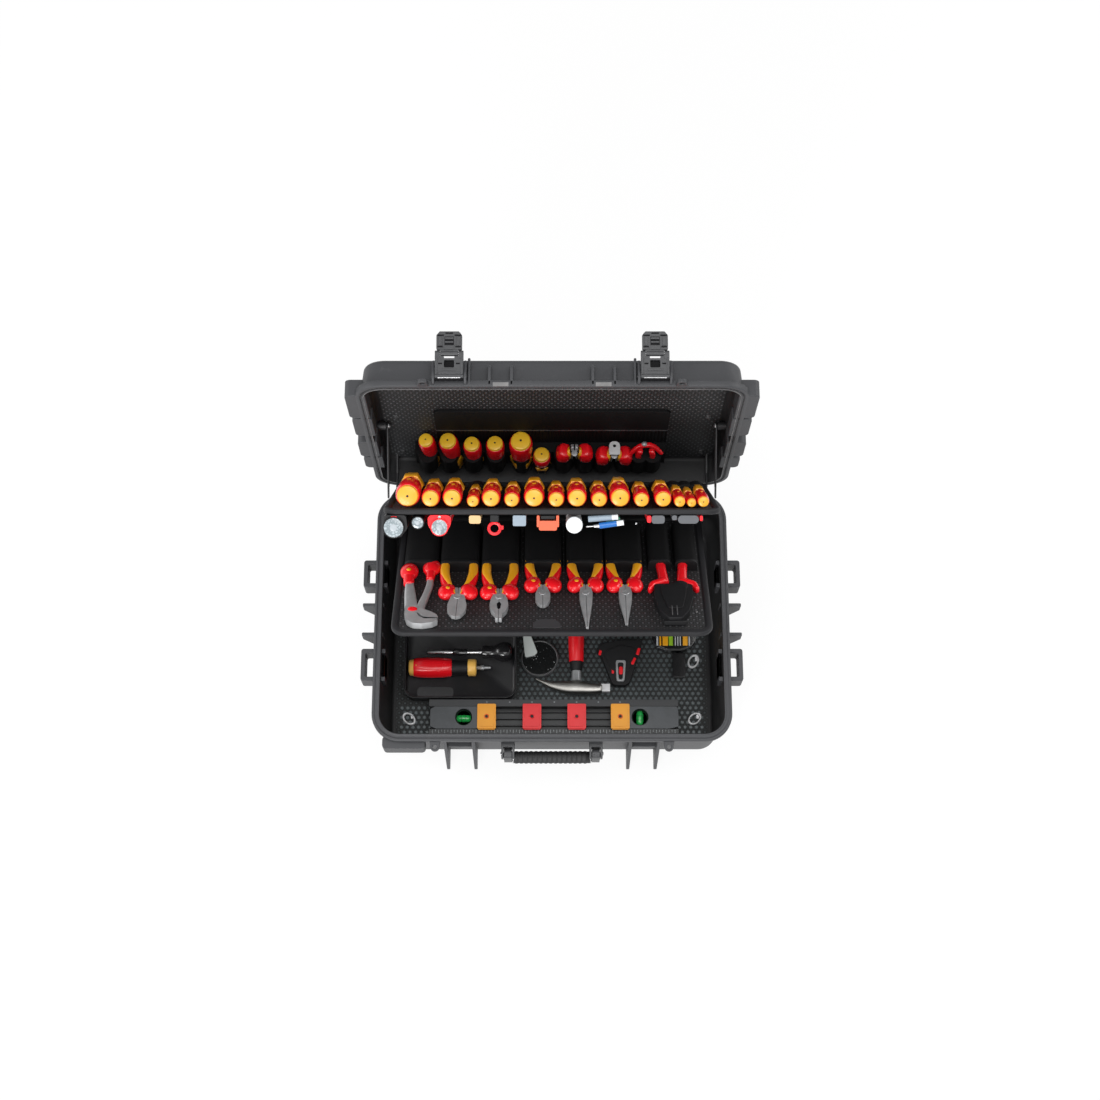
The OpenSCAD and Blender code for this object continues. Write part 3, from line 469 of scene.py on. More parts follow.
def holed_plate(outer, inner, low, high):
    """A flat plate between an outer outline and a hole's outline, which have as many points each."""
    outer, inner = np.asarray(outer, float), np.asarray(inner, float)
    area = np.sum(outer[:, 0] * np.roll(outer[:, 1], -1) - np.roll(outer[:, 0], -1) * outer[:, 1])
    if area < 0:
        outer, inner = outer[::-1], inner[::-1]
    rings = [np.column_stack([ring, np.full(len(ring), level)])
             for ring, level in ((outer, low), (outer, high), (inner, high), (inner, low))]
    return np.concatenate(rings), grid_faces(4, len(outer), wrap_rows=True).tolist()


def padlock_eye(x, y, low, high, hole=3.5, rim=7, foot=9.5):
    """A round lug with a hole, its foot widening to the wall behind it."""
    angle = np.radians(np.linspace(180, 360, 20))
    outer = np.concatenate([np.column_stack([x + rim * np.cos(angle), y + rim * np.sin(angle)]),
                            [[x + rim + 1.5, y + foot], [x, y + foot], [x - rim - 1.5, y + foot]]])
    toward = np.arctan2(outer[:, 1] - y, outer[:, 0] - x)
    inner = np.column_stack([x + hole * np.cos(toward), y + hole * np.sin(toward)])
    return holed_plate(outer, inner, low, high)


RIM_W, RIM_D, RIM_R = 560, 406, 44
FLANGE, FLANGE_T, WALL, DRAFT, ROUND = 8, 10, 4, 7, 8
BASE_H = 142
LATCH_X, EYE_X, EYE_OUT = 144, 181, 8
BODY_W, BODY_D, BODY_R = RIM_W - 2 * FLANGE, RIM_D - 2 * FLANGE, RIM_R - FLANGE
shell_gray = (0.040, 0.041, 0.045)


def shell_finish():
    """Moulded plastic: fine leathery grain, slightly cloudy colour, and dull scuffs."""
    finish = Finish("moulded_grey", shell_gray, 0.52, IOR=1.48)
    at = finish.position()
    cloud = finish.noise(at, 9, 4)
    grain = finish.noise(at, 900, 2, 0.6)
    scuff = finish.ramp(finish.noise(finish.position((1, 1, 6)), 55, 5, 0.7), 0.60, 0.74)
    tone = finish.blend(cloud, tuple(c * 0.86 for c in shell_gray), tuple(c * 1.16 for c in shell_gray))
    finish.drive(Base_Color=finish.blend(scuff * 0.22, tone, (0.10, 0.10, 0.105)),
                 Roughness=0.44 + 0.16 * grain + 0.08 * scuff)
    finish.bump(grain, 0.00025, 0.55)
    return finish


def inside_shade_finish():
    """The inside of the shell: the same plastic painted near black as painted shade, with faint dust in
    random patches.
    """
    finish = Finish("lining_black", (0.012, 0.012, 0.013), 0.6)
    at = finish.position()
    grain = finish.noise(at, 700, 2, 0.6)
    dust = finish.ramp(finish.noise(at, 14, 5, 0.6), 0.5, 0.8)
    finish.drive(Base_Color=finish.blend(dust * 0.5, (0.010, 0.010, 0.011), (0.028, 0.027, 0.028)),
                 Roughness=0.5 + 0.2 * grain)
    finish.bump(grain, 0.0002, 0.4)
    return finish


moulded_grey = shell_finish()
lining_black = inside_shade_finish()

base_profile = (arc((-DRAFT - ROUND, ROUND), ROUND, -90, 0, 6)
                + [(-3.5, 70), (-0.5, BASE_H - FLANGE_T - 2)] + arc((1.5, BASE_H - FLANGE_T - 2), 2, 180,
                                                                    90, 4)
                + arc((FLANGE - 1.5, BASE_H - FLANGE_T + 1.5), 1.5, -90, 0, 4)
                + arc((FLANGE - 2, BASE_H - 2), 2, 0, 90, 5)
                + [(4.2, BASE_H), (3.8, BASE_H - 0.5), (2.6, BASE_H - 0.9), (-0.6, BASE_H - 0.9),
                   (-1.4, BASE_H - 0.4), (-1.8, BASE_H), (-WALL + 1.2, BASE_H)]
                + arc((-WALL + 1.2, BASE_H - 1.2), 1.2, 90, 180, 4)
                + [(-WALL - 3.5, 70), (-WALL - DRAFT, WALL + 6)]
                + arc((-WALL - DRAFT - 6, WALL + 6), 6, 0, -90, 5))


def beyond_outline(middles, y=0.0):
    """How far each point stands outside the body's rounded outline: the distance to the rounded
    rectangle's core less its corner radius, negative inside."""
    over_x = np.abs(middles[:, 0]) - (BODY_W / 2 - BODY_R)
    over_y = np.abs(middles[:, 1] - y) - (BODY_D / 2 - BODY_R)
    outside = np.hypot(np.maximum(over_x, 0), np.maximum(over_y, 0))
    return outside + np.minimum(np.maximum(over_x, over_y), 0) - BODY_R


def inside_of_base(points, faces):
    """Faces on the tub's inner side: further in than the middle of the drafted wall."""
    middles = np.array([points[face].mean(axis=0) for face in faces])
    height = middles[:, 2]
    wall_middle = -WALL / 2 - DRAFT * (1 - height / BASE_H)
    return (height > WALL - 0.5) & (height < BASE_H - 0.3) & (beyond_outline(middles) < wall_middle)


base_ribs = []
for x in (-166, -122, 122, 166):
    front = -BODY_D / 2
    outline = rounded([(front + DRAFT + 4, 6), (front - 26, 6), (front - 26, 14),
                       (front - FLANGE, BASE_H - FLANGE_T), (front + 2, BASE_H - FLANGE_T)], [0, 3, 3, 0, 0])
    base_ribs.append(side_plate(outline, x, 5))
for x in (-180, -120, 120, 180):
    back = BODY_D / 2
    outline = [(back - DRAFT - 4, 20), (back - DRAFT + 3, 20), (back + FLANGE - 1, BASE_H - FLANGE_T),
               (back - 2, BASE_H - FLANGE_T)]
    base_ribs.append(side_plate(outline, x, 5))
for side in (-1, 1):
    for y in (19, -29):
        reach = 34
        outline = rounded([(0, BASE_H - FLANGE_T), (reach, BASE_H - FLANGE_T), (reach, BASE_H - 34), (0, 40)],
                          [0, 2, 5, 0])
        points, faces = extrude(outline, -2.5, 2.5)
        plate = (np.column_stack([points[:, 0] + BODY_W / 2 - 6, points[:, 2] + y, points[:, 1]]),
                 [face[::-1] for face in faces])
        base_ribs.append(plate if side > 0 else flipped(plate))
    base_ribs.append(block((side * LATCH_X - 18, -BODY_D / 2 - 9, hinge[2] / MM - 44.7),
                           (side * LATCH_X + 18, -BODY_D / 2 + 3, hinge[2] / MM - 38.7)))
    base_ribs.append(padlock_eye(side * EYE_X, -RIM_D / 2 - EYE_OUT, BASE_H - FLANGE_T,
                                 BASE_H - FLANGE_T + 6))
corner_boss = extrude(rounded_box(-263, -213, -197, -193, 6), BASE_H - 41.5, BASE_H - 9.5)
base_ribs.append(corner_boss)

# Faces inside the tub take the near-black inside finish: painted shade for the tub's shadowed inside.
build("base_moulding", in_base, [(moulded_grey, [carry_round(base_profile, BODY_W, BODY_D, BODY_R)])], "base",
      nodes=["base_shell"], marked=(lining_black, inside_of_base))
build("base_ribs", in_base, [(moulded_grey, base_ribs)], "base", nodes=["base_fittings"],
      bevel=0.8)

# ---------------------------------------------------------------------------
# Strap loops: four thick brackets moulded on the side walls, each round an
# upright slot that a shoulder strap or a tie-down passes through.
strap_loops = []
for front, back in ((48, 93), (-105, -53)):
    outer = rounded_box(262, front, 300, back, [0, 4, 4, 0], 6)
    inner = rounded_box(262, front + 7, 293, back - 7, [0, 3, 3, 0], 6)
    low, high = BASE_H - FLANGE_T - 36, BASE_H - FLANGE_T
    loop = holed_plate(outer, inner, low, high)
    strap_loops += [loop, flipped(loop)]
build("strap_loops", in_base, [(moulded_grey, strap_loops)], "base", nodes=["side_loops"],
      bevel=1.2)

# ---------------------------------------------------------------------------
# Lid: a shallow tub like the base, with the seal groove in its rim, latch lugs
# and stiffeners on its front wall, and stacking blocks down both sides.
LID_H = 47
HINGE_BACK = 9
LID_MID = -(HINGE_BACK + RIM_D / 2)
LID_FRONT = -(HINGE_BACK + RIM_D - FLANGE)
lid_profile = ([(-75, LID_H - 2.2), (-62, LID_H - 2.2), (-60, LID_H - 0.6), (-44, LID_H - 0.6),
                (-42, LID_H - 2.2), (-34, LID_H - 2.2), (-31, LID_H - 0.3)]
               + arc((-3 - ROUND, LID_H - ROUND), ROUND, 90, 0, 7) + [(-0.2, FLANGE_T + 2)]
               + arc((1.8, FLANGE_T + 2), 2, 180, 270, 4) + arc((FLANGE - 1.5, FLANGE_T - 1.2), 1.5, 90, 0, 4)
               + arc((FLANGE - 1.5, 1.8), 1.5, 0, -90, 4)
               + [(2.7, 0.3), (2.6, 1.2), (2.4, 3.4), (-0.4, 3.4), (-0.6, 1.2), (-0.7, 0.3), (-WALL + 1, 0.3)]
               + arc((-WALL + 1, 1.3), 1, 270, 180, 3)
               + [(-WALL - 3, LID_H - WALL - 6)] + arc((-WALL - 9, LID_H - WALL - 6), 6, 0, 90, 5))


def inside_of_lid(points, faces):
    """Faces on the lid's inner side: further in than the middle of its wall."""
    middles = np.array([points[face].mean(axis=0) for face in faces])
    height = middles[:, 2]
    wall_middle = -WALL / 2 - 3 * height / LID_H
    return (height > 0.6) & (height < LID_H - WALL + 0.5) & (beyond_outline(middles, LID_MID) < wall_middle)


latch_lug = rounded([(LID_FRONT + 5, 3), (-418, 3), (-425, 9), (-425, 17), (-418, LID_H - 8),
                     (LID_FRONT + 5, LID_H - 6)], [0, 3, 4, 6, 4, 0])
lid_fittings = []
for side in (-1, 1):
    for edge in (-1, 1):
        lid_fittings.append(side_plate(latch_lug, side * LATCH_X + edge * 22.4, 4))
    guard = rounded([(LID_FRONT + 5, 2), (LID_FRONT - 9, 2), (LID_FRONT - 9, LID_H - 2),
                     (LID_FRONT + 5, LID_H - 6)],
                    [0, 4, 3, 0])
    lid_fittings.append(side_plate(guard, side * 116.5, 3.6))
    for x in (57, 88):
        stiffener = rounded([(LID_FRONT + 5, 2), (LID_FRONT - 8, 2), (LID_FRONT - 8, 33),
                             (LID_FRONT + 5, 35)], [0, 2, 3.5, 0])
        lid_fittings.append(side_plate(stiffener, side * x, 4.5))
    for start, length, reach, height in ((296, 84, 15, 16), (226, 66, 13, 10), (140, 60, 14, 16),
                                         (92, 44, 11, 10)):
        left, right = 280 + reach - 30, 280 + reach
        outline = rounded_box(left, -start - length, right, -start, [2, 9, 9, 2], 7)
        body = extrude(outline, 0.4, FLANGE_T + height)
        lid_fittings.append(body if side > 0 else flipped(body))
    lid_fittings.append(padlock_eye(side * EYE_X, -(HINGE_BACK + RIM_D) - EYE_OUT, 0.3, 6.3))

# Faces inside the lid take the near-black inside finish: painted shade for the lid's shadowed inside.
build("lid_moulding", in_lid,
      [(moulded_grey, [turned_over(carry_round(lid_profile, BODY_W, BODY_D, BODY_R, y=LID_MID))])], "lid",
      nodes=["lid_shell"], marked=(lining_black, inside_of_lid))
build("lid_mouldings", in_lid, [(moulded_grey, lid_fittings)], "lid", nodes=["lid_fittings"],
      bevel=1.2)

# ---------------------------------------------------------------------------
# Hinges: two runs of five moulded barrels on a steel pin each, three barrels on
# the base and two on the lid, every barrel on a short foot from its rim.


def barrels(slots, foot_low, foot_high):
    """Barrels of 6 mm radius about the pin, side by side, each with a foot towards the rim."""
    surfaces = []
    for side in (-1, 1):
        for slot in slots:
            middle = side * 150 + (slot - 2) * 16.88
            surfaces.append(rod((middle - 8.2, 0, 0), (middle + 8.2, 0, 0), 6))
            surfaces.append(block((middle - 8.2, -9.6, foot_low), (middle + 8.2, -1, foot_high)))
    return surfaces


at_pin = Seat(hinge, 0)
build("base_hinge_barrels", at_pin, [(moulded_grey, barrels((0, 2, 4), -9.8, -0.6))], "base",
      nodes=["base_fittings"], bevel=0.9)
build("lid_hinge_barrels", in_lid, [(moulded_grey, barrels((1, 3), 0.6, 9.8))], "lid",
      nodes=["lid_fittings"], bevel=0.9)


def worked_metal(name, color, roughness, streak=(1, 1, 1), metallic=1.0, **constants):
    """Ground or plated metal: fine draw lines along its length, faint stains and a few bright rubs."""
    finish = Finish(name, color, roughness, metallic=metallic, **constants)
    lines = finish.noise(finish.position(streak), 1100, 2, 0.7)
    stain = finish.ramp(finish.noise(finish.position(), 45, 5, 0.6), 0.35, 0.72)
    finish.drive(Base_Color=finish.blend(stain, tuple(c * 0.74 for c in color), color),
                 Roughness=roughness - 0.08 + 0.18 * lines)
    finish.bump(lines, 0.00006, 0.4)
    return finish


def dress(node, finish):
    """Gives a shape kept from the model its finish."""
    for slot in frame["nodes"][node].material_slots:
        slot.material = finish.material


bright_steel = worked_metal("bright_steel", (0.62, 0.62, 0.63), 0.28, (0.1, 1, 1))
for node in ("hinge_pins", "panel_screws"):
    dress(node, bright_steel)

# ---------------------------------------------------------------------------
# Seal: a cord of foam rubber pressed into the groove all round the lid's rim,
# its skin pitted with tiny cells.
seal_color = (0.016, 0.016, 0.017)
seal_foam = Finish("seal_foam", seal_color, 0.85)
cells = seal_foam.noise(seal_foam.position(), 520, 2, 0.5)
seal_foam.drive(Base_Color=seal_foam.blend(seal_foam.ramp(cells, 0.5, 0.72), seal_color, (0.07, 0.07, 0.072)),
                Roughness=0.7 + 0.25 * cells)
seal_foam.bump(cells, 0.0005, 0.7)
dress("rim_seal", seal_foam)


def seal_section(bulge):
    """A D-shaped cord standing 2.8 mm out of its groove."""
    return [(-0.35, 3.2)] + [(1 + 1.35 * math.cos(a), 1.4 - bulge * math.sin(a))
                             for a in np.linspace(math.pi, 0, 9)] + [(2.35, 3.2)]


build("seal_cord", in_lid,
      [(seal_foam, [carry_round(seal_section(1.9), BODY_W, BODY_D, BODY_R, y=LID_MID, closed=True)])], "lid",
      nodes=["rim_seal"])
lip_gray = Finish("lip_gray", (0.24, 0.235, 0.235), 0.4)
rubbed = lip_gray.noise(lip_gray.position(), 38, 4)
lip_gray.drive(Base_Color=lip_gray.blend(lip_gray.ramp(rubbed, 0.35, 0.7), (0.09, 0.09, 0.09),
                                         (0.24, 0.235, 0.235)))
lip = [(-WALL + 0.6 + 0.55 * math.cos(a), 0.5 + 0.55 * math.sin(a))
       for a in np.linspace(0, 2 * math.pi, 8, endpoint=False)]
pads = [block((side * 72 - 11, LID_FRONT - 8.3, 0.6), (side * 72 + 11, LID_FRONT - 7.4, 6.4))
        for side in (-1, 1)]
build("lid_rim_lip", in_lid,
      [(lip_gray, [carry_round(lip, BODY_W, BODY_D, BODY_R, y=LID_MID, closed=True)] + pads)], "lid",
      sharp=60)

# ---------------------------------------------------------------------------
# Latches: a moulded lever on a steel pin between the lid's lugs, a window
# through it, and a stiff hook on the lever's own pin that grips the base's ledge.


def moulded(name, color, roughness, coat=0.0, grain=600, relief=0.00012, cloud=0.12, scuffs=0.18,
            **constants):
    """Injection-moulded plastic: a fine skin grain, a slight cloud in the colour, and faint scuffs."""
    finish = Finish(name, color, roughness, coat=coat, **constants)
    skin = finish.noise(finish.position(), grain, 2, 0.6)
    tone = finish.noise(finish.position(), 22, 4)
    scuff = finish.ramp(finish.noise(finish.position((1, 1, 5)), 70, 5, 0.7), 0.60, 0.76)
    shade = finish.blend(tone, tuple(c * (1 - cloud) for c in color),
                         tuple(min(1, c * (1 + cloud)) for c in color))
    finish.drive(Base_Color=finish.blend(scuff * scuffs, shade, tuple(0.85 * c + 0.05 for c in color)),
                 Roughness=roughness - 0.06 + 0.12 * skin + 0.12 * scuff)
    finish.bump(skin, relief, 0.5)
    return finish


latch_gray = moulded("latch_gray", (0.040, 0.041, 0.044), 0.40, IOR=1.48)
# Near-black plastic with little specular, used as painted shade: in the latches' windows and grooves, under
# the levers' pivots and between plier jaws.
latch_dark = moulded("latch_dark", (0.004, 0.004, 0.005), 0.6, scuffs=0.05, **{"Specular IOR Level": 0.15})


def framed_plate(outline, hole, low, high):
    """A plate with a hole whose outline is drawn with as many points as the outside, spread by angle
    round the hole's middle."""
    hole = np.asarray(hole, float)
    middle = hole.mean(axis=0)

    def by_angle(ring, steps=48):
        """The ring's crossings with rays from the middle, one every 360/steps degrees."""
        ring = np.asarray(ring, float) - middle
        following = np.roll(ring, -1, axis=0)
        rays = np.radians(np.arange(steps) * 360 / steps + 0.7)
        toward = np.stack([np.cos(rays), np.sin(rays)], axis=1)
        edge = following - ring
        cross = toward[:, None, 0] * edge[None, :, 1] - toward[:, None, 1] * edge[None, :, 0]
        cross = np.where(np.abs(cross) < 1e-9, 1e-9, cross)
        reach = (ring[None, :, 0] * edge[None, :, 1] - ring[None, :, 1] * edge[None, :, 0]) / cross
        share = (ring[None, :, 0] * toward[:, None, 1] - ring[None, :, 1] * toward[:, None, 0]) / cross
        good = (share >= -1e-6) & (share <= 1 + 1e-6) & (reach > 0)
        distance = np.where(good, reach, -1).max(axis=1)
        return middle + toward * distance[:, None]

    return holed_plate(by_angle(outline), by_angle(hole), low, high)


def standing(surface, y=0.0, z=0.0):
    """A surface drawn flat, stood up so that its height faces the front: y becomes z, z becomes -y."""
    points, faces = surface
    return np.column_stack([points[:, 0], y - points[:, 2], points[:, 1] + z]), faces


lever_pin, hook_pin = (joint_at[f"{part}_left_swing"]["pos_m"] for part in ("lever", "hook"))
latch_lean = math.degrees(math.atan2(hook_pin[2] - lever_pin[2], hook_pin[1] - lever_pin[1]))
lever_long = 33
hook_long = 31
for side_name, side in (("left", -1), ("right", 1)):
    pivot = joint_at[f"lever_{side_name}_swing"]["pos_m"]
    link = joint_at[f"hook_{side_name}_swing"]["pos_m"]
    # the latch stands with its length along the seat's z, its outer face towards the seat's front
    lever_seat = Seat(pivot, latch_lean - 90)
    hook_seat = Seat(link, latch_lean - 90)
    arm = [standing(framed_plate(rounded_box(-20, -3.5, 20, 25.4, [2, 2, 1, 1]),
                                 rounded_box(-7, 12, 7, 22.6, 1.5), -3.6, 3.6)),
           rod((-20, 0, 0), (20, 0, 0), 4)]
    for edge in (-1, 1):
        arm.append(rod((edge * 16.5 - 3.5, 0, lever_long), (edge * 16.5 + 3.5, 0, lever_long), 4))
        arm.append(block((edge * 16.5 - 3.5, -4, 24), (edge * 16.5 + 3.5, 4, lever_long)))
        arm.append(block((edge * 10.4 - 3.0, -3.4, 25), (edge * 10.4 + 3.0, 3.4, lever_long - 4.4)))
        arm.append(block((edge * 17.8 - 1.3, -4.9, 2), (edge * 17.8 + 1.3, -3, 26)))
    arm += [block((-16, -4.7, 2.5), (16, -3, 5)), block((-11, -4.6, 7.4), (11, -3, 9.6))]
    # Painted shade: near-black blocks in the lever's two grooves, inside its window and under its pivot.
    shade = [block((edge * 12.4 - 2.8, -3.9, 16.4), (edge * 12.4 + 2.8, -3.2, 18.6)) for edge in (-1, 1)]
    shade += [block((-6.9, 1.2, 12.1), (6.9, 2.4, 22.5)), block((-19.4, -3.2, -5.4), (19.4, 2.8, -3.2))]
    pin = rod((-18.5, 0, 0), (18.5, 0, 0), 1.9)
    build(f"latch_lever_{side_name}", lever_seat,
          [(latch_gray, arm), (latch_dark, shade),
           (bright_steel, [rod((-16, -3.4, -2.9), (16, -3.4, -2.9), 0.8)])],
          f"lever_{side_name}", nodes=[f"lever_{side_name}"], bevel=0.6)
    plate = extrude(rounded([(-18, 4.9), (18, 4.9), (18, 25.5), (13.4, hook_long), (-13.4, hook_long),
                             (-18, 25.5)],
                            [1.5, 1.5, 2, 1.5, 1.5, 2]), -4, 3.4)
    rails = [block((edge * 12.6 - 2.4, -4.9, 10.6), (edge * 12.6 + 2.4, -3.2, 23.4)) for edge in (-1, 1)]
    rails += [block((-6, -4.7, 14.2), (6, -3.2, 16.6)), block((-6, -4.9, 19.4), (6, -3.2, 22.2)),
              block((-7, -5, 4.4), (7, -3.2, 10))]
    # Painted shade: the hook's grooves are near-black strips standing on its face.
    grooves = [block((edge * 12 - 4.6, -4.1, 24.1), (edge * 12 + 4.6, -3.2, 26.2)) for edge in (-1, 1)]
    grooves += [block((edge * 12.6 - 3.9, -4.1, 7.6), (edge * 12.6 + 3.9, -3.2, 9.8)) for edge in (-1, 1)]
    grooves += [block((-6.6, -3.9, 11), (6.6, -3.2, 23.4)), block((-5.4, -4.1, 27.2), (5.4, -3.2, 29.2))]
    tongue = [block((-12.5, -3.2, -1), (12.5, 3.2, 8)), rod((-12.5, 0, 0), (12.5, 0, 0), 4)]
    claw = [block((-15.5, 2, hook_long - 6), (15.5, 9, hook_long))]
    grooves = [moved(surface, y=-0.35) for surface in grooves]
    rails = [moved(surface, y=-0.35) for surface in rails]
    build(f"latch_hook_{side_name}", hook_seat,
          [(latch_gray, [standing(plate, y=-0.6)] + tongue + claw + rails), (latch_dark, grooves),
           (bright_steel, [pin])],
          f"hook_{side_name}", nodes=[f"hook_{side_name}"], bevel=0.5)

# ---------------------------------------------------------------------------
# Carry handle: two short moulded arms on steel pins in brackets on the front
# wall, joined by a bar with a thick ribbed rubber sleeve.


def turned(profile, start, toward, steps=28, flutes=0, depth=0.0, fluted=(0.0, 0.0)):
    """A profile of (distance, radius) pairs turned about a line. Flutes shrink the radius by depth times
    the square of a sine of the angle, fading in and out over the fluted stretch."""
    start, toward = np.array(start, float), np.array(toward, float)
    toward /= np.linalg.norm(toward)
    side = np.cross(toward, [0, 0, 1.0]) if abs(toward[2]) < 0.9 else np.cross(toward, [0, 1.0, 0])
    side /= np.linalg.norm(side)
    across = np.cross(toward, side)
    angle = np.linspace(0, 2 * math.pi, steps, endpoint=False)
    profile = np.array(profile, float)
    along, radius = profile[:, 0][:, None], np.maximum(profile[:, 1], 0.02)[:, None] * np.ones(steps)
    if flutes:
        low, high = fluted
        fade = np.clip((along - low) / 5, 0, 1) * np.clip((high - along) / 5, 0, 1)
        radius = radius * (1 - depth * fade * np.sin(flutes * angle / 2) ** 2)
    rings = (start + along[..., None] * toward
             + radius[..., None] * (np.cos(angle)[:, None] * side + np.sin(angle)[:, None] * across))
    return rings.reshape(-1, 3), tube_faces(len(profile), steps)


sleeve_rubber = moulded("sleeve_rubber", (0.014, 0.014, 0.015), 0.62, grain=900, relief=0.0002, scuffs=0.25)
handle_y, handle_z = (place / MM for place in joint_at["handle_swing"]["pos_m"][1:])
handle_x, handle_reach = 68.5, 27
handle_arms = []
for side in (-1, 1):
    outline = rounded([(handle_y - 7, handle_z + 6.6), (handle_y + 7, handle_z + 6.6),
                       (handle_y + 8, handle_z - handle_reach - 8),
                       (handle_y - 8, handle_z - handle_reach - 8)],
                      [6, 6, 7, 7])
    handle_arms.append(side_plate(outline, side * handle_x, 12.4))
    handle_arms.append(side_plate(rounded([(handle_y - 4, handle_z - 6), (handle_y + 4, handle_z - 6),
                                           (handle_y + 4.6, handle_z - 30), (handle_y - 4.6, handle_z - 30)],
                                          2),
                                  side * 75.0, 0.8))
handle_arms.append(rod((-66, handle_y, handle_z - handle_reach), (66, handle_y, handle_z - handle_reach), 6))
build("handle_arms", in_base, [(latch_gray, handle_arms)], "handle", nodes=["carry_handle"],
      bevel=1.0)
ridges = [(0, 6.5), (0.3, 8.2), (1.5, 9.2)]
for i in range(15):
    middle = 6 + 7.7 * i
    ridges += [(middle - 2.6, 9.2), (middle - 1.6, 9.9), (middle + 1.6, 9.9), (middle + 2.6, 9.2)]
ridges += [(121.9, 9.2), (123.1, 8.2), (123.4, 6.5)]
build("handle_sleeve", in_base,
      [(sleeve_rubber, [turned(ridges, (-61.7, handle_y, handle_z - handle_reach), (1, 0, 0), 36)])],
      "handle", nodes=["handle_grip"], sharp=60)
brackets = []
for side in (-1, 1):
    for edge in (-1, 1):
        x = side * handle_x + edge * 8.6
        outline = rounded([(handle_y - 8, handle_z - 9), (handle_y - 8, handle_z + 9), (-196, handle_z + 11),
                           (-196, handle_z - 11)], [6, 6, 0, 0])
        brackets.append(side_plate(outline, x, 3.4))
    brackets.append(block((side * handle_x - 10.3, -208, handle_z - 11),
                          (side * handle_x + 10.3, -196, handle_z + 11)))
rivets = []
for side in (-1, 1):
    rivets.append(turned([(0, 3.6), (1, 3.4), (1.8, 2.2), (2, 0.05)], (side * 78.4, handle_y, handle_z),
                         (side, 0, 0), 18))
    rivets.append(turned([(0, 8.6), (0.4, 9.4), (1.6, 9.4), (2, 8.6)],
                         (side * 59.6, handle_y, handle_z - handle_reach), (side, 0, 0), 28))
build("handle_mounts", in_base, [(latch_gray, brackets)], "base", nodes=["handle_brackets"],
      bevel=0.8)
build("handle_rivets", in_base, [(bright_steel, rivets[0::2])], "base", nodes=["handle_pins"])
build("handle_washers", in_base, [(bright_steel, rivets[1::2])], "handle")

# ---------------------------------------------------------------------------
# Lid lining: a thin board over the lid's inside, covered in black webbing with a
# hexagonal net, and a flat stiffened pocket with a pleated lower band.


def webbing(name, seat, color, dots, pitch=9.2, roughness=0.6):
    """Coated fabric with a raised hexagonal net and raised studs at its crossings, the studs painted pale as
    highlights.
    """
    finish = Finish(name, color, roughness)
    across, along = finish.plane(seat)
    distance = finish.lattice(across, along, pitch)
    net = finish.ramp(distance, 0.38, 0.50)
    stud_relief_and_highlight = finish.ramp(distance, 0.22, 0.13)
    dust = finish.ramp(finish.noise(finish.position(), 12, 5, 0.65), 0.42, 0.75)
    thread = finish.noise(finish.position(), 1400, 2, 0.6)
    cloth = finish.blend(net * 0.8, finish.blend(dust, color, tuple(c * 1.7 for c in color)),
                         tuple(c * 3.4 for c in color))
    # The pale dots on the studs are painted highlights.
    finish.drive(Base_Color=finish.blend(stud_relief_and_highlight * (0.55 + 0.45 * dust), cloth, dots),
                 Roughness=0.45 + 0.3 * thread)
    finish.bump(net * 0.7 + stud_relief_and_highlight + 0.15 * thread, 0.0006, 0.6)
    return finish


pocket_black = moulded("pocket_black", (0.0055, 0.0055, 0.006), 0.72, grain=1300, relief=0.0002, scuffs=0.12,
                       **{"Specular IOR Level": 0.2})
hem_gray = moulded("hem_gray", (0.075, 0.075, 0.08), 0.5)
lid_web = webbing("lid_web", in_lid, (0.007, 0.0075, 0.008), (0.15, 0.155, 0.165))
lid_board = extrude(rounded_rectangle(512, 358, 24) + [0, LID_MID], 40.7, 42.7)
build("lid_lining", in_lid, [(lid_web, [lid_board])], "lid", nodes=["lid_panel"], bevel=0.5)

pocket_face = extrude(rounded_box(-178, -234, 178, -160, [9, 9, 3, 3], 7), 36.1, 40.7)
pocket_lip = extrude(rounded_box(-178, -161.5, 178, -157.5, 1.2), 35.7, 40.7)
pleat = np.linspace(-178, 178, 357)
wavy = np.column_stack([np.concatenate([pleat, pleat[::-1]]),
                        np.concatenate([38.2 + 0.7 * np.sin(pleat * 2 * math.pi / 5.6) ** 3,
                                        np.full(357, 40.7)])])
pleated_band = standing(extrude(wavy, 84.5, 158))
build("lid_pouch", in_lid, [(pocket_black, [pocket_face, pleated_band]), (hem_gray, [pocket_lip])], "lid",
      nodes=["lid_pocket"], bevel=0.8)

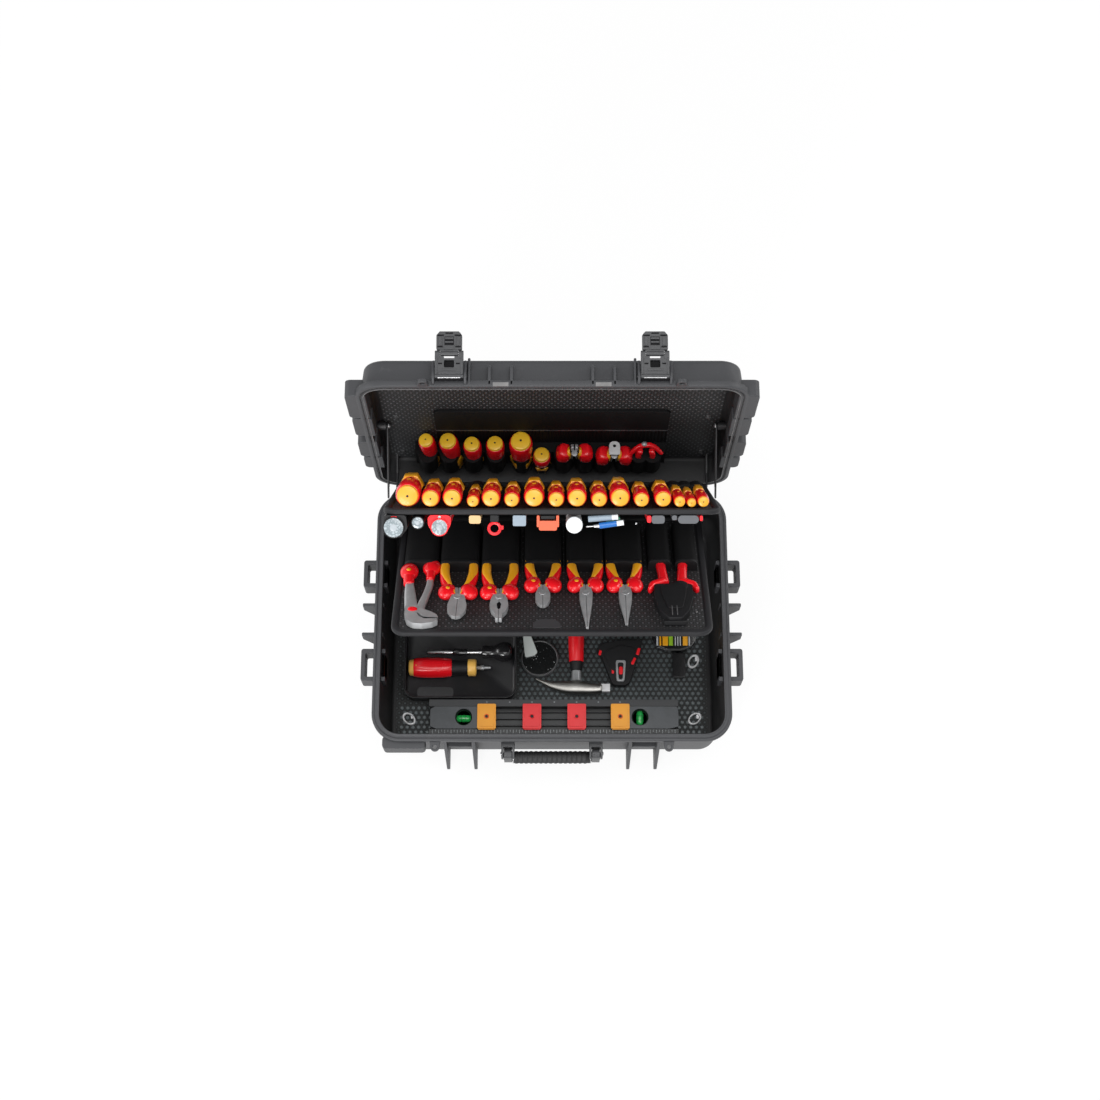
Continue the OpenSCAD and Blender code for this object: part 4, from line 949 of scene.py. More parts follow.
# ---------------------------------------------------------------------------
# Two tool boards: stiff sheets in a soft grey edge of piping, hung one over the
# other; the upper carries the screwdrivers, the lower one the pliers.
piping_gray = moulded("piping_gray", (0.018, 0.018, 0.020), 0.55, grain=900, relief=0.0002, scuffs=0.2,
                      **{"Specular IOR Level": 0.25})
BOARD_W = 488
for level, seat, length in (("upper", on_upper, 297), ("lower", on_lower, 300)):
    web = webbing(f"{level}_web", seat, (0.009, 0.009, 0.0095), (0.11, 0.112, 0.12))
    middle = (6 - length) / 2
    depth = length + 6
    outline = rounded_rectangle(BOARD_W - 2 * 10.5, depth - 2 * 10.5, 12)
    build(f"{level}_sheet", seat, [(web, [extrude(outline + [0, middle], -2, 2)])], f"{level}_board",
          nodes=[f"{level}_board"])
    roll = [(-5.5 + 5.5 * math.copysign(abs(math.cos(a)) ** 0.6, math.cos(a)),
             4.5 * math.copysign(abs(math.sin(a)) ** 0.7, math.sin(a)))
            for a in np.linspace(0, 2 * math.pi, 22, endpoint=False)]
    stitch = [carry_round([(-9.8, 2.0), (-10.2, 2.6), (-11.1, 2.6), (-11.5, 2.0)], BOARD_W, depth, 22,
                          y=middle, closed=True)]
    build(f"{level}_piping", seat,
          [(piping_gray, [carry_round(roll, BOARD_W, depth, 22, y=middle, closed=True)] + stitch)],
          f"{level}_board", nodes=[f"{level}_edge"], sharp=60)

# ---------------------------------------------------------------------------
# Screwdrivers on the upper board: glossy red handles with an amber cap and a
# yellow hexagonal collar, their blades pushed through a comb of elastic.
red_gloss = moulded("red_gloss", (0.92, 0.008, 0.016), 0.25, coat=0.3, relief=0.00005, scuffs=0.08, IOR=1.5)
amber_cap = moulded("amber_cap", (0.84, 0.38, 0.026), 0.34, coat=0.1, relief=0.00005, cloud=0.08, scuffs=0.1)
yellow_gloss = moulded("yellow_gloss", (0.94, 0.42, 0.012), 0.30, coat=0.25, relief=0.00006, cloud=0.08,
                       scuffs=0.1)
soft_black = moulded("soft_black", (0.010, 0.010, 0.011), 0.5, grain=800, relief=0.0002, scuffs=0.1,
                     **{"Specular IOR Level": 0.3})
blade_steel = worked_metal("blade_steel", (0.45, 0.45, 0.46), 0.30, (1, 1, 0.1))
dress("upper_driver_blades", blade_steel)


def driver(x, front, height, size, length=104, toward=(0, 1, 0)):
    """One screwdriver from its cap's face: cap, barrel with a waist, six-sided collar and two round marks.
    Each profile is a table of distances and of shares of half the driver's size."""
    half = size / 2
    start = np.array([x, front, height], float)
    step = np.array(toward, float)
    cap = [(0, 0.10), (0.05, 0.70), (0.8, 0.84), (2.4, 0.90), (5.2, 0.92)]
    barrel = [(4.8, 0.86), (5.4, 0.96), (8, 1.03), (16, 1.07), (0.30 * length, 1.07), (0.46 * length, 1.02),
              (0.60 * length, 0.94), (0.68 * length, 0.90), (0.72 * length, 0.80)]
    nose = [(0, 0.80), (0.5, 1.04), (3, 1.08), (0.20 * length, 1.08), (0.27 * length, 0.92),
            (0.30 * length + 12, 0.84), (0.30 * length + 16, 0.66)]
    return {
        "cap": [turned([(t, half * r) for t, r in cap], start, toward, 28)],
        "barrel": [turned([(t, half * r) for t, r in barrel], start, toward, 36)],
        "collar": [turned([(t, half * r) for t, r in nose], start + step * 0.69 * length, toward, 6)],
        "mark": [turned([(0, 0.11 * half), (0.12, 0.11 * half)], start - step * 0.1, toward, 10)],
        "spot": [turned([(0, 0.22 * half), (0.6, 0.18 * half), (0.8, 0.05)],
                        start + step * 0.34 * length + [0, 0, half * 1.065], (0, 0, 1), 14)]}


def driver_set(name, seat, drivers, body, nodes, cap_finish=amber_cap):
    """Joins a row of drivers into one piece, finish by finish."""
    finishes = {"cap": cap_finish, "barrel": red_gloss, "collar": yellow_gloss, "mark": soft_black,
                "spot": yellow_gloss}
    return build(name, seat, [(finish, [surface for one in drivers for surface in one[part]])
                              for part, finish in finishes.items()], body, nodes=nodes, sharp=38)


upper_x = [-208, -175, -144, -114, -88, -58, -26, 6, 36, 68, 98, 129, 160, 184, 201, 218]
upper_size = [34, 26, 27, 18, 26, 22, 28, 23, 27, 23, 28, 22, 24, 17, 14, 17]
driver_set("upper_drivers", on_upper,
           [driver(x, -291, 5.1 + size / 2, size, toward=(0, 1, 0.002 * size))
            for x, size in zip(upper_x, upper_size)], "upper_board",
           ["upper_driver_grips", "upper_driver_caps", "upper_driver_collars"])

# Elastic comb: black webbing sewn down between the blades, so that it arches over each
arches_x = np.linspace(-232, 232, 465)
nearest = np.min(np.abs(arches_x[:, None] - np.array(upper_x)[None, :]), axis=1)
arch_top = 14 + 9.5 * np.sqrt(np.clip(1 - (nearest / 12.5) ** 2, 0, 1))
comb_outline = np.column_stack([np.concatenate([arches_x, [232, -232]]), np.concatenate([arch_top, [2, 2]])])
comb = standing(extrude(comb_outline, 126.5, 165.5))
build("upper_comb", on_upper, [(pocket_black, [comb])], "upper_board",
      nodes=["upper_tool_comb"], bevel=0.6)

# ---------------------------------------------------------------------------
# Row in the lid: six screwdrivers, two pairs of pliers with red lobed handles
# and a slim red pair, all held by one strap of black elastic.
# Each driver's x, the place of its cap's face, its height above the rim, its size and its lean
lid_row = [(-195, -148, 26, 24, 0.10), (-161, -149, 24.5, 28, 0.10), (-124, -142, 22, 26.5, 0.04),
           (-88, -144, 22, 27, 0.0), (-48, -154, 22, 34, 0.0), (-16, -110, 16.5, 27, 0.0)]
# The lid drivers' caps take a lighter copy of the amber cap colour: painted light, to lift them out of the
# lid's shade.
bright_amber = moulded("bright_amber", (1.0, 0.58, 0.030), 0.32, coat=0.12, relief=0.00005, cloud=0.08,
                       scuffs=0.1)
driver_set("lid_drivers", in_lid, [driver(x, front, height, size, -62 - front, (lean, 1, 0))
                                   for x, front, height, size, lean in lid_row],
           "lid", ["lid_driver_grips", "lid_driver_caps"], bright_amber)


def smooth(rows, fill=6):
    """Rows of numbers joined by Catmull-Rom curves: each span is the cubic through its ends whose slope
    at an end is half the step between that end's neighbours."""
    rows = np.asarray(rows, float)
    ends = np.vstack([2 * rows[0] - rows[1], rows, 2 * rows[-1] - rows[-2]])
    t = np.linspace(0, 1, fill, endpoint=False)[None, :, None]
    a, b, c, d = (part[:, None, :] for part in (ends[:-3], ends[1:-2], ends[2:-1], ends[3:]))
    cubic = 3 * b - a - 3 * c + d
    spans = 0.5 * (2 * b + (c - a) * t + (2 * a - 5 * b + 4 * c - d) * t ** 2 + cubic * t ** 3)
    return np.vstack([spans.reshape(-1, rows.shape[1]), rows[-1:]])


def limb(rows, square=2.6, steps=20, fill=6, cap=3.0):
    """A bar through rows of (x, y, z, width, height), joined by smooth curves. At each point its section is
    |u|^n + |v|^n = 1 with n = square, stood square to the path; its ends round off over the cap's length."""
    rows = smooth(rows, fill)
    for end in (0, -1):
        tangent = rows[end, :3] - rows[1 if end == 0 else -2, :3]
        tangent /= np.linalg.norm(tangent)
        turn = np.radians([20, 45, 68, 90])
        caps = np.repeat(rows[[end]], 4, axis=0)
        caps[:, :3] += tangent * (cap * np.cos(turn))[:, None]
        caps[:, 3:] *= np.sin(turn)[:, None]
        rows = np.vstack([caps[:-1], rows]) if end == 0 else np.vstack([rows, caps[:-1][::-1]])
    path, width, height = rows[:, :3], rows[:, 3][:, None, None] / 2, rows[:, 4][:, None, None] / 2
    along = np.gradient(path, axis=0)
    along /= np.linalg.norm(along, axis=1)[:, None]
    side = np.cross([0, 0, 1.0], along)
    side /= np.linalg.norm(side, axis=1)[:, None]
    up = np.cross(along, side)
    angle = np.linspace(0, 2 * math.pi, steps, endpoint=False)
    u = (np.sign(np.cos(angle)) * np.abs(np.cos(angle)) ** (2 / square))[None, :, None]
    v = (np.sign(np.sin(angle)) * np.abs(np.sin(angle)) ** (2 / square))[None, :, None]
    rings = path[:, None] + side[:, None] * u * width + up[:, None] * v * height
    return rings.reshape(-1, 3), tube_faces(len(rows), steps)


def mirrored(surface, x):
    """A surface and its mirror image about a level line at x."""
    points, faces = surface
    return [surface, (points * [-1, 1, 1] + [2 * x, 0, 0], [face[::-1] for face in faces])]


def spun(points, degrees):
    """Points turned about z."""
    c, s = math.cos(math.radians(degrees)), math.sin(math.radians(degrees))
    return np.column_stack([c * points[:, 0] - s * points[:, 1], s * points[:, 0] + c * points[:, 1],
                            points[:, 2]])


def circle(center, radius, steps=48):
    """Points round a circle, counter-clockwise from the right."""
    angle = np.linspace(0, 2 * math.pi, steps, endpoint=False)
    return np.column_stack([center[0] + radius * np.cos(angle), center[1] + radius * np.sin(angle)])


def pebble(center, half, steps=22, turn=0.0):
    """An ellipsoid by latitude and longitude, turned about z."""
    latitude = np.linspace(-88, 88, 11)
    profile = [(half[1] * math.sin(math.radians(a)), math.cos(math.radians(a))) for a in latitude]
    points, faces = turned(profile, (0, 0, 0), (0, 1, 0), steps)
    return spun(points * [half[0], 1, half[2]], turn) + np.array(center, float), faces


dull_steel = worked_metal("dull_steel", (0.46, 0.47, 0.48), 0.42, (1, 0.15, 1), metallic=0.45)
lid_red, lid_steel, lid_jaw_shade, lid_amber = [], [], [], []
for x, drop, height in ((35, 10, 17.5), (97, 18, 16.5)):
    lid_red += mirrored(limb([(x + 14.5, -133 + drop, height, 19, 23),
                              (x + 17.5, -123 + drop, height, 22.5, 27),
                              (x + 17.5, -108 + drop, height, 21, 24), (x + 17, -92 + drop, height, 15, 16),
                              (x + 16, -70, height, 14, 15), (x + 13, -56, height, 12, 14)]), x)
    lid_amber += mirrored(limb([(x + 8.5, -134 + drop, height - 4, 6, 12),
                                (x + 7.5, -126 + drop, height, 6, 18), (x + 8, -112 + drop, height, 6, 15)]),
                          x)
    lid_steel += mirrored(limb([(x + 3.2, -143 + drop, height + 2, 5, 9),
                                (x + 3.6, -122 + drop, height, 6, 9), (x + 6, -104 + drop, height, 7, 8)], 4),
                          x)
    # Painted shade: a near-black bar across the two jaws stands for the shade between them.
    lid_jaw_shade.append(limb([(x - 5, -136 + drop, height, 5, 13), (x + 5, -136 + drop, height, 5, 13)], 4))
    lid_steel.append(turned([(0, 4.4), (0.6, 5), (1.8, 5), (2.2, 4)], (x, -137 + drop, height - 7),
                            (0, -1, 0), 20))
lid_red.append(limb([(123, -118, 14.5, 7, 5), (130, -126, 18.5, 8, 7), (140, -133, 21.5, 9, 8),
                     (152, -133, 22, 9, 8), (162, -126, 19.5, 8, 7), (170, -116, 15.5, 7, 5)]))
lid_red += mirrored(limb([(155, -122, 17, 9, 10), (157, -104, 17, 10, 12), (156, -80, 18, 9, 10),
                          (154, -54, 18, 8, 9)]), 146)
lid_steel.append(pebble((143, -137, 22.5), (4.6, 3, 4.2)))
tab_outline = rounded_box(-8.6, 8, 8.6, 30, [1.5, 1.5, 8, 8], 8)
tab_hole = circle((0, 22.5), 2.5, 20)
bright_tab = moved(standing(framed_plate(tab_outline, tab_hole, 128, 130.5)), x=97)
tab_white = worked_metal("tab_steel", (0.88, 0.89, 0.90), 0.35, metallic=0.25)
build("lid_plier_handles", in_lid, [(red_gloss, lid_red), (yellow_gloss, lid_amber)], "lid",
      nodes=["lid_plier_grips"], sharp=60)
build("lid_plier_jaws", in_lid, [(dull_steel, lid_steel), (latch_dark, lid_jaw_shade), (tab_white, [bright_tab])],
      "lid", nodes=["lid_plier_heads"], bevel=0.4, sharp=50)

# Elastic that holds the row: one band, lifted in an arch over each tool
band_x = np.linspace(-214, 178, 393)
held = np.array([x + 8 * lean for x, _, _, _, lean in lid_row] + [18, 52, 80, 114, 136, 157])
arch = np.sqrt(np.clip(1 - (np.min(np.abs(band_x[:, None] - held[None, :]), axis=1) / 15) ** 2, 0, 1))
band_outline = np.column_stack([np.concatenate([band_x, band_x[::-1]]),
                                np.concatenate([np.full(len(band_x), 40.0), 22 - 18 * arch[::-1]])])
elastic = standing(extrude(band_outline, 56, 104))
build("lid_elastic", in_lid, [(pocket_black, [elastic])], "lid", nodes=["lid_tool_strip"],
      bevel=0.5)

# ---------------------------------------------------------------------------
# Torches under the upper board: a square-bodied black lamp, a penlight and a red
# lamp, all held with their lenses at the board's front edge.
clear_lens = Finish("clear_lens", (0.30, 0.34, 0.37), 0.10, coat=0.6, IOR=1.5)
facets = clear_lens.node("ShaderNodeTexVoronoi", {"feature": "DISTANCE_TO_EDGE"},
                         {"Vector": clear_lens.position(), "Scale": 230.0}, output="Distance")
clear_lens.drive(Base_Color=clear_lens.blend(clear_lens.ramp(facets, 0.03, 0.30), (0.22, 0.26, 0.28),
                                             (0.44, 0.50, 0.53)))
reflector = moulded("reflector", (0.40, 0.44, 0.47), 0.35, cloud=0.2, scuffs=0.5)


def lens(x, front, height, radius):
    """A shallow dome in a bezel: the dome's profile falls as the square of the distance from its middle."""
    dome = [(-1.2 * (1 - (r / radius) ** 2), r)
            for r in np.linspace(0.05, 1, 7) * (radius - 1.6)] + [(1.5, radius - 1.6)]
    bezel = [(1.5, radius - 2.2), (-0.4, radius - 1.7), (-0.8, radius - 0.8), (0, radius), (5, radius)]
    middle = [(-1.5, 0.05), (-1.7, 0.26 * radius), (-1.2, 0.34 * radius), (1, 0.34 * radius)]
    return [turned(part, (x, front, height), (0, 1, 0), 32) for part in (dome, bezel, middle)]


def tunnel(outline, front, length):
    """An outline in x and z carried back from the front."""
    return standing(extrude(outline, -length, 0), y=front)


red_satin = moulded("red_satin", (0.95, 0.008, 0.016), 0.38, coat=0.08, relief=0.00008, scuffs=0.12)
torch_front = -299
glass1, bezel1, bright1 = lens(-228, torch_front, -22.5, 15.6)
glass2, bezel2, bright2 = lens(-193, torch_front, -15.4, 9.6)
glass3, bezel3, bright3 = lens(-162, torch_front, -22, 13)
body1 = [tunnel(rounded([(-242, -4.7), (-210, -4.7), (-208, -24), (-218, -37), (-236, -37), (-243.5, -24)],
                        5), torch_front + 3, 104),
         tunnel(rounded_box(-239, -4.7, -213, -33, 5), torch_front + 100, 12)]
body2 = [turned([(4, 9.0), (12, 9.0), (13, 8), (16, 8), (17, 8.8), (112, 8.8), (114, 6.5)],
                (-193, torch_front, -15.4), (0, 1, 0), 24, 12, 0.03, (18, 110))]
body3 = [tunnel(rounded([(-179.5, -4.7), (-145, -4.7), (-146, -19), (-153, -32.4), (-171, -32.4),
                         (-178.5, -19)], 7), torch_front + 2.5, 127)]
switch1 = tunnel(rounded_box(-232, -6.4, -223, -13, 1.2), torch_front + 2, 4)
switch3 = turned([(0, 2.6), (-0.6, 2.2), (-0.8, 0.05)], (-162, torch_front + 2.4, -7.6), (0, 1, 0), 14)
build("torches", on_upper,
      [(soft_black, body1 + body2 + [bezel1, bezel2]), (red_satin, body3 + [bezel3, switch1]),
                            (bright_steel, [turned_over(switch3)])], "upper_board",
      nodes=["torch_bodies"], bevel=0.5, sharp=45)
build("torch_glasses", on_upper,
      [(clear_lens, [glass1, glass2, glass3]), (reflector, [bright1, bright2, bright3])], "upper_board",
      nodes=["torch_lenses"], sharp=60)

# ---------------------------------------------------------------------------
# Small things under the same board, each in an elastic loop: a folding rule, a
# hook, a tester, a cutter, a white magnet cup, three pens and two knives.
beige = moulded("beige_plastic", (0.70, 0.46, 0.22), 0.4, scuffs=0.1)
slate = moulded("slate_plastic", (0.26, 0.32, 0.38), 0.35, scuffs=0.1)
coral = moulded("coral_plastic", (0.74, 0.12, 0.05), 0.35, coat=0.1, scuffs=0.1)
white_cup = moulded("white_cup", (0.74, 0.76, 0.78), 0.3, cloud=0.03, scuffs=0.05)
pen_blue = moulded("pen_blue", (0.005, 0.13, 0.46), 0.28, coat=0.3)
pen_green = moulded("pen_green", (0.0, 0.19, 0.09), 0.28, coat=0.3)
knife_gray = moulded("knife_gray", (0.10, 0.105, 0.115), 0.4)


def cell(x, width, top, bottom, front, length, corner=2.0):
    """A bar with rounded edges, its section a box in x and z."""
    return tunnel(rounded_box(x - width / 2, top, x + width / 2, bottom, corner), front, length)


small_front = -297
hook_ring = turned([(-3, 6.2), (-3.4, 8.6), (-2, 10.2), (2, 10.2), (3.4, 8.6), (3, 6.2)], (0, 0, 0),
                   (0, 1, 0), 26)
hook_ring = (hook_ring[0],
             hook_ring[1][:-2] + [[5 * 26 + i, 5 * 26 + (i + 1) % 26, (i + 1) % 26, i] for i in range(26)])
ring_at = moved(hook_ring, -83, small_front + 5, -24.5)
pens_dark = [rod((x, -288, -10.2), (x, -168, -10.2), 4.4) for x in (62, 78, 94)]
build("small_tool_row", on_upper,
      [(beige, [cell(-111, 17, -5.1, -17, small_front, 58, 3)]),
       (soft_black, [cell(-83, 12, -5.1, -15, small_front + 2, 76, 1.5),
                     cell(-6, 20, -5.6, -10, small_front - 0.4, 50, 1)] + pens_dark),
       (red_satin, [ring_at, cell(-73, 6, -20.5, -26, small_front + 3, 8, 1),
                    cell(139.5, 6, -5.4, -15.5, small_front - 0.5, 110, 2),
                    cell(214.5, 4, -5.4, -13, small_front - 0.5, 100, 1.5)]),
       (slate, [cell(-47, 19, -5.1, -20.5, small_front, 58, 2)]),
       (coral, [cell(-20, 4, -5.1, -22, small_front, 52, 1.5), cell(8, 4, -5.1, -22, small_front, 52, 1.5),
                cell(-6, 26, -13, -27, small_front + 0.5, 52, 2.5)]),
       (white_cup, [turned([(-0.5, 9.5), (-0.9, 10.8), (0.2, 12), (8, 12), (90, 11)],
                           (32, small_front, -19.2), (0, 1, 0), 30),
                    turned([(-0.4, 0.1), (-0.4, 9.6), (0.6, 9.7)], (32, small_front, -19.2), (0, 1, 0), 30),
                    rod((86, -293, -8.4), (95, -294, -7.6), 4.1),
                    rod((93, -295, -17), (103, -295, -15.6), 3.9)]),
       (slate, [rod((52, -292, -11), (86, -293, -8.4), (4.6, 4.2))]),
       (pen_green, [rod((78, -286, -12.5), (98, -287, -11.6), 4.0)]),
       (pen_blue, [rod((68, -294, -20.5), (93, -295, -17), (4.4, 4.1))]),
       (knife_gray, [cell(152.5, 19, -5.1, -17, small_front, 120, 4),
                     cell(176, 7, -5.1, -12, small_front + 1, 108, 2),
                     cell(196, 30, -5.1, -17, small_front, 110, 6)]),
       (bright_steel, [rod((49, -293, -22), (60, -294, -21), 1.1),
                       rod((60, -294, -21), (68, -294, -20.6), (2.2, 3.2)),
                       turned([(0, 1.6), (0.5, 1.2), (0.6, 0.05)], (121, small_front + 1, -17),
                              (0, -1, 0), 12)])],
      "upper_board", nodes=["small_tools"], bevel=0.35, sharp=45)

# ---------------------------------------------------------------------------
# Pockets on the lower board: stiff black pouches sewn to the sheet, one for each
# pair of handles, their mouths hemmed with a dark tape.


def pouch(x, half, low, high, start, end):
    """A pouch: its section rises from the sheet as the superellipse |u|^4 + |v|^4 = 1."""
    u = np.linspace(-1, 1, 25)
    arch = np.column_stack([x + half * u, low + (high - low) * (1 - np.abs(u) ** 4) ** 0.25])
    return standing(extrude(arch, start, end))


plier_x = [-205, -145, -81, -14, 52, 113]
plier_half = [17, 21, 20, 20, 20, 20]
stripper_x = 190
pouches = ([pouch(x, half + 11.4, 2, 21.4, 34, 144) for x, half in zip(plier_x, plier_half)]
           + [pouch(stripper_x + side * 21, 18.5, 2, 21.4, 34, 141) for side in (-1, 1)])
hems = ([pouch(x, half + 11.7, 2, 22, 139, 144.8) for x, half in zip(plier_x, plier_half)]
        + [pouch(stripper_x + side * 21, 18.8, 2, 22, 137, 142) for side in (-1, 1)])
build("plier_pouches", on_lower, [(pocket_black, pouches), (soft_black, hems)], "lower_board",
      nodes=["plier_pockets"], bevel=0.6)

# Dark finger tab on the middle of the front edge, and a rivet near the right end
tab = rounded([(-29, -286), (13, -286), (13, -274), (3, -264.5), (-19, -264.5), (-29, -274)],
              [1, 1, 10, 10, 10, 10], 6)
build("finger_tab", on_lower, [(moulded("tab_gray", (0.045, 0.045, 0.048), 0.45), [extrude(tab, 1.5, 2.7)]),
                               (bright_steel, [turned([(0, 1.8), (0.5, 1.4), (0.6, 0.05)], (221, -246, 2),
                                                      (0, 0, 1), 14)])],
      "lower_board", bevel=0.3)

# ---------------------------------------------------------------------------
# Pliers: ground steel heads riveted in their handles; each handle is a red dipped
# grip with a yellow liner let into its inner face and a round thumb guard.


def handle_pair(x, half, spread=1.0):
    """Red grips, yellow liners and guards of one pair, and the dot on its left guard."""
    grips = mirrored(limb([(x + half, -62, 10.8, 12, 11.5), (x + half + 0.5, -105, 10.8, 12, 13),
                           (x + half + 1.5, -146, 10.8, 15, 13.6), (x + half - 0.5, -172, 10.8, 15.5, 13.6),
                           (x + 14, -193, 10.8, 13, 13), (x + 7, -208, 10.8, 9, 12)]), x)
    liners = mirrored(limb([(x + half - 0.6, -100, 14.0, 10, 9.6), (x + half + 1.4, -146, 14.2, 14.4, 9.8),
                            (x + half - 1.6, -166, 14.2, 12.4, 9.8), (x + half - 7, -182, 14.0, 8, 9.4),
                            (x + 7.5, -196, 13.4, 4.6, 8.8), (x + 5, -206, 12.6, 3, 8.2)], fill=5), x)
    guard = pebble((x + 17 * spread, -199, 11.9), (13.6 * spread, 17.5, 9.8), 24, 18)
    guards = mirrored(guard, x)
    dot = turned([(0, 3.4), (0.7, 2.8), (1.0, 0.05)], (x - 15.5 * spread, -200, 21.0), (0, 0, 1), 16)
    return grips + guards, liners, dot


def jaws(x, outline, low=4.8, high=15.8, tip=0.55, gap=0.35, lean=0.0):
    """Two mirrored jaws, their flats closing towards the tip: heights shrink about the middle plane in
    proportion to the distance from the joint, down to the tip's share."""
    outline = np.array(outline, float)
    half = rounded(np.vstack([[(gap, outline[0][1])], outline, [(gap, outline[-1][1])]]), 2.0, 4)
    points, faces = extrude(half, low, high)
    near, far = outline[:, 1].max(), outline[:, 1].min()
    share = 1 - (1 - tip) * np.clip((near - 16 - points[:, 1]) / (near - 16 - far), 0, 1)
    middle = (low + high) / 2
    points[:, 2] = middle + (points[:, 2] - middle) * share
    points[:, 0] += x
    both = mirrored((points, faces), x)
    bend = lean * (near - points[:, 1])
    return [(np.column_stack([p[:, 0] + bend, p[:, 1], p[:, 2]]), f) for p, f in both]


def joint(x, y=-222, radius=6.2):
    """The rivet: a low disc with a turned dish in its middle."""
    return turned([(0, radius), (0.7, radius), (1.1, radius - 0.5), (1.1, radius - 2), (0.7, radius - 3),
                   (0.7, 0.05)],
                  (x, y, 15.6), (0, 0, 1), 24)


bright_head = worked_metal("bright_head", (0.56, 0.57, 0.58), 0.36, (1, 0.15, 1), metallic=0.5)
steel_heads, grips, liners, dots, marks = [], [], [], [], []
for x, half, spread in zip(plier_x[1:], plier_half[1:], (1.0, 0.98, 0.95, 0.92, 0.92)):
    rise = 8 if x > -40 else -10
    pair = handle_pair(x, half, spread)
    grips += [moved(surface, y=rise) for surface in pair[0]]
    liners += [moved(surface, y=rise) for surface in pair[1]]
    dots.append(moved(pair[2], y=rise))
diagonal = [(7, -200), (8.5, -214), (12, -228), (14.6, -240), (14.0, -253), (7, -266), (0.8, -269)]
steel_heads += jaws(-144, diagonal, lean=-0.03)
combination = [(7, -202), (9, -216), (13, -229), (14.4, -242), (11.5, -254), (5.8, -263), (5.0, -273),
               (4.6, -274)]
steel_heads += jaws(-81, combination, tip=0.8)
# Painted shade: a near-black patch over the opening between the combination pliers' jaws.
marks.append(extrude(rounded([(-84.4, -240), (-81, -234), (-77.6, -240), (-78.6, -250), (-81, -254),
                              (-83.4, -250)], 1.2), 14.9, 15.4))
small_cutter = [(6, -202), (7.5, -212), (11.4, -224), (11.4, -235), (8.6, -244), (4, -250), (0.8, -251)]
first_upper = len(steel_heads)
steel_heads += jaws(-14, small_cutter)
long_nose = [(6, -202), (8.4, -212), (10.2, -222), (9.6, -238), (6.6, -262), (3.4, -286), (2.0, -302),
             (0.8, -303)]
steel_heads += jaws(52, long_nose, tip=0.4, lean=0.015)
steel_heads += jaws(113, [(x, y if y > -230 else -230 + (y + 230) * 0.88) for x, y in long_nose], tip=0.4)
steel_heads += [joint(x) for x in plier_x[3:]]
steel_heads = ([moved(surface, y=-3) for surface in steel_heads[:first_upper]]
               + [moved(surface, y=7) for surface in steel_heads[first_upper:]])
marks = [moved(surface, y=-3) for surface in marks]
steel_heads += [joint(x, -225) for x in plier_x[1:3]]

# Water-pump pliers: two long necks, one crossing the other, and hooked jaws to the right
pump = plier_x[0]
grips += [limb([(pump - 18, -62, 10.8, 12, 12), (pump - 18, -134, 10.8, 14, 13.5),
                (pump - 18, -168, 10.8, 18, 15), (pump - 17.5, -188, 10.4, 16, 13)]),
          limb([(pump + 17, -62, 10.8, 12, 12), (pump + 18, -126, 10.8, 14, 13.5),
                (pump + 16, -158, 10.8, 16, 14.5), (pump + 15, -176, 10.4, 12, 12)]),
          pebble((pump - 18, -158, 11.8), (14.5, 19, 9.8), 24),
          pebble((pump + 17, -148, 11.8), (14.5, 18, 9.8), 24, -12)]
dots.append(turned([(0, 3.6), (0.7, 3.0), (1.0, 0.05)], (pump - 18.5, -163, 20.8), (0, 0, 1), 16))
steel_heads += [limb([(pump - 16.5, -182, 9.5, 12, 9), (pump - 14, -212, 9.5, 17, 10.5),
                      (pump - 10.5, -244, 9.5, 20, 11), (pump - 9, -262, 9.5, 19, 11)], 5, 16),
                limb([(pump + 15, -170, 8.5, 10, 8), (pump + 15, -190, 8.5, 11, 8.5),
                      (pump + 10, -218, 8.5, 11, 9), (pump + 5, -240, 8.5, 13, 9),
                      (pump + 4, -258, 9, 14, 9.5)], 4, 16)]
outer_jaw = [(-19, -246), (0, -246), (-2, -262), (3, -273), (12, -279), (31, -278.6), (32, -281.5),
             (24, -288), (9, -291.5), (-6, -290), (-15, -282), (-19, -268)]
inner_jaw = [(-2, -250), (8, -254), (20, -260), (30, -268), (32.5, -275), (23, -274.4), (12, -273.6),
             (5, -268), (-2, -260)]
steel_heads += [extrude(rounded([(pump + x, y) for x, y in outer_jaw],
                                [3, 3, 6, 6, 3, 1, 3, 8, 10, 10, 8, 6]), 4.4, 15.6),
                extrude(rounded([(pump + x, y) for x, y in inner_jaw], [3, 6, 8, 4, 1, 3, 3, 4, 3]),
                        4.4, 14.6)]
# Painted shade: a near-black fill in the gap between the pump pliers' jaws.
marks.append(extrude([(pump + x, y)
                      for x, y in ((3, -272.4), (11, -274.2), (31.4, -275.6), (31, -278.2), (12.4, -278.6),
                                   (4, -273.8))],
                     4.4, 14.3))
button = turned([(0, 7.5), (1.2, 7.2), (1.8, 5.5), (1.9, 0.05)], (0, 0, 0), (0, 0, 1), 24)
push_button = (button[0] * [1, 0.72, 1] + [pump - 7.5, -256, 14.9], button[1])
build("plier_heads_steel", on_lower,
      [(bright_head, steel_heads), (latch_dark, marks), (red_gloss, [push_button])], "lower_board",
      nodes=["plier_heads"], bevel=0.7, sharp=50)
build("plier_handles", on_lower, [(red_gloss, grips), (yellow_gloss, dots)], "lower_board",
      nodes=["plier_grips"], sharp=60)
build("plier_liners", on_lower, [(yellow_gloss, liners)], "lower_board",
      nodes=["plier_inlays"], sharp=60)

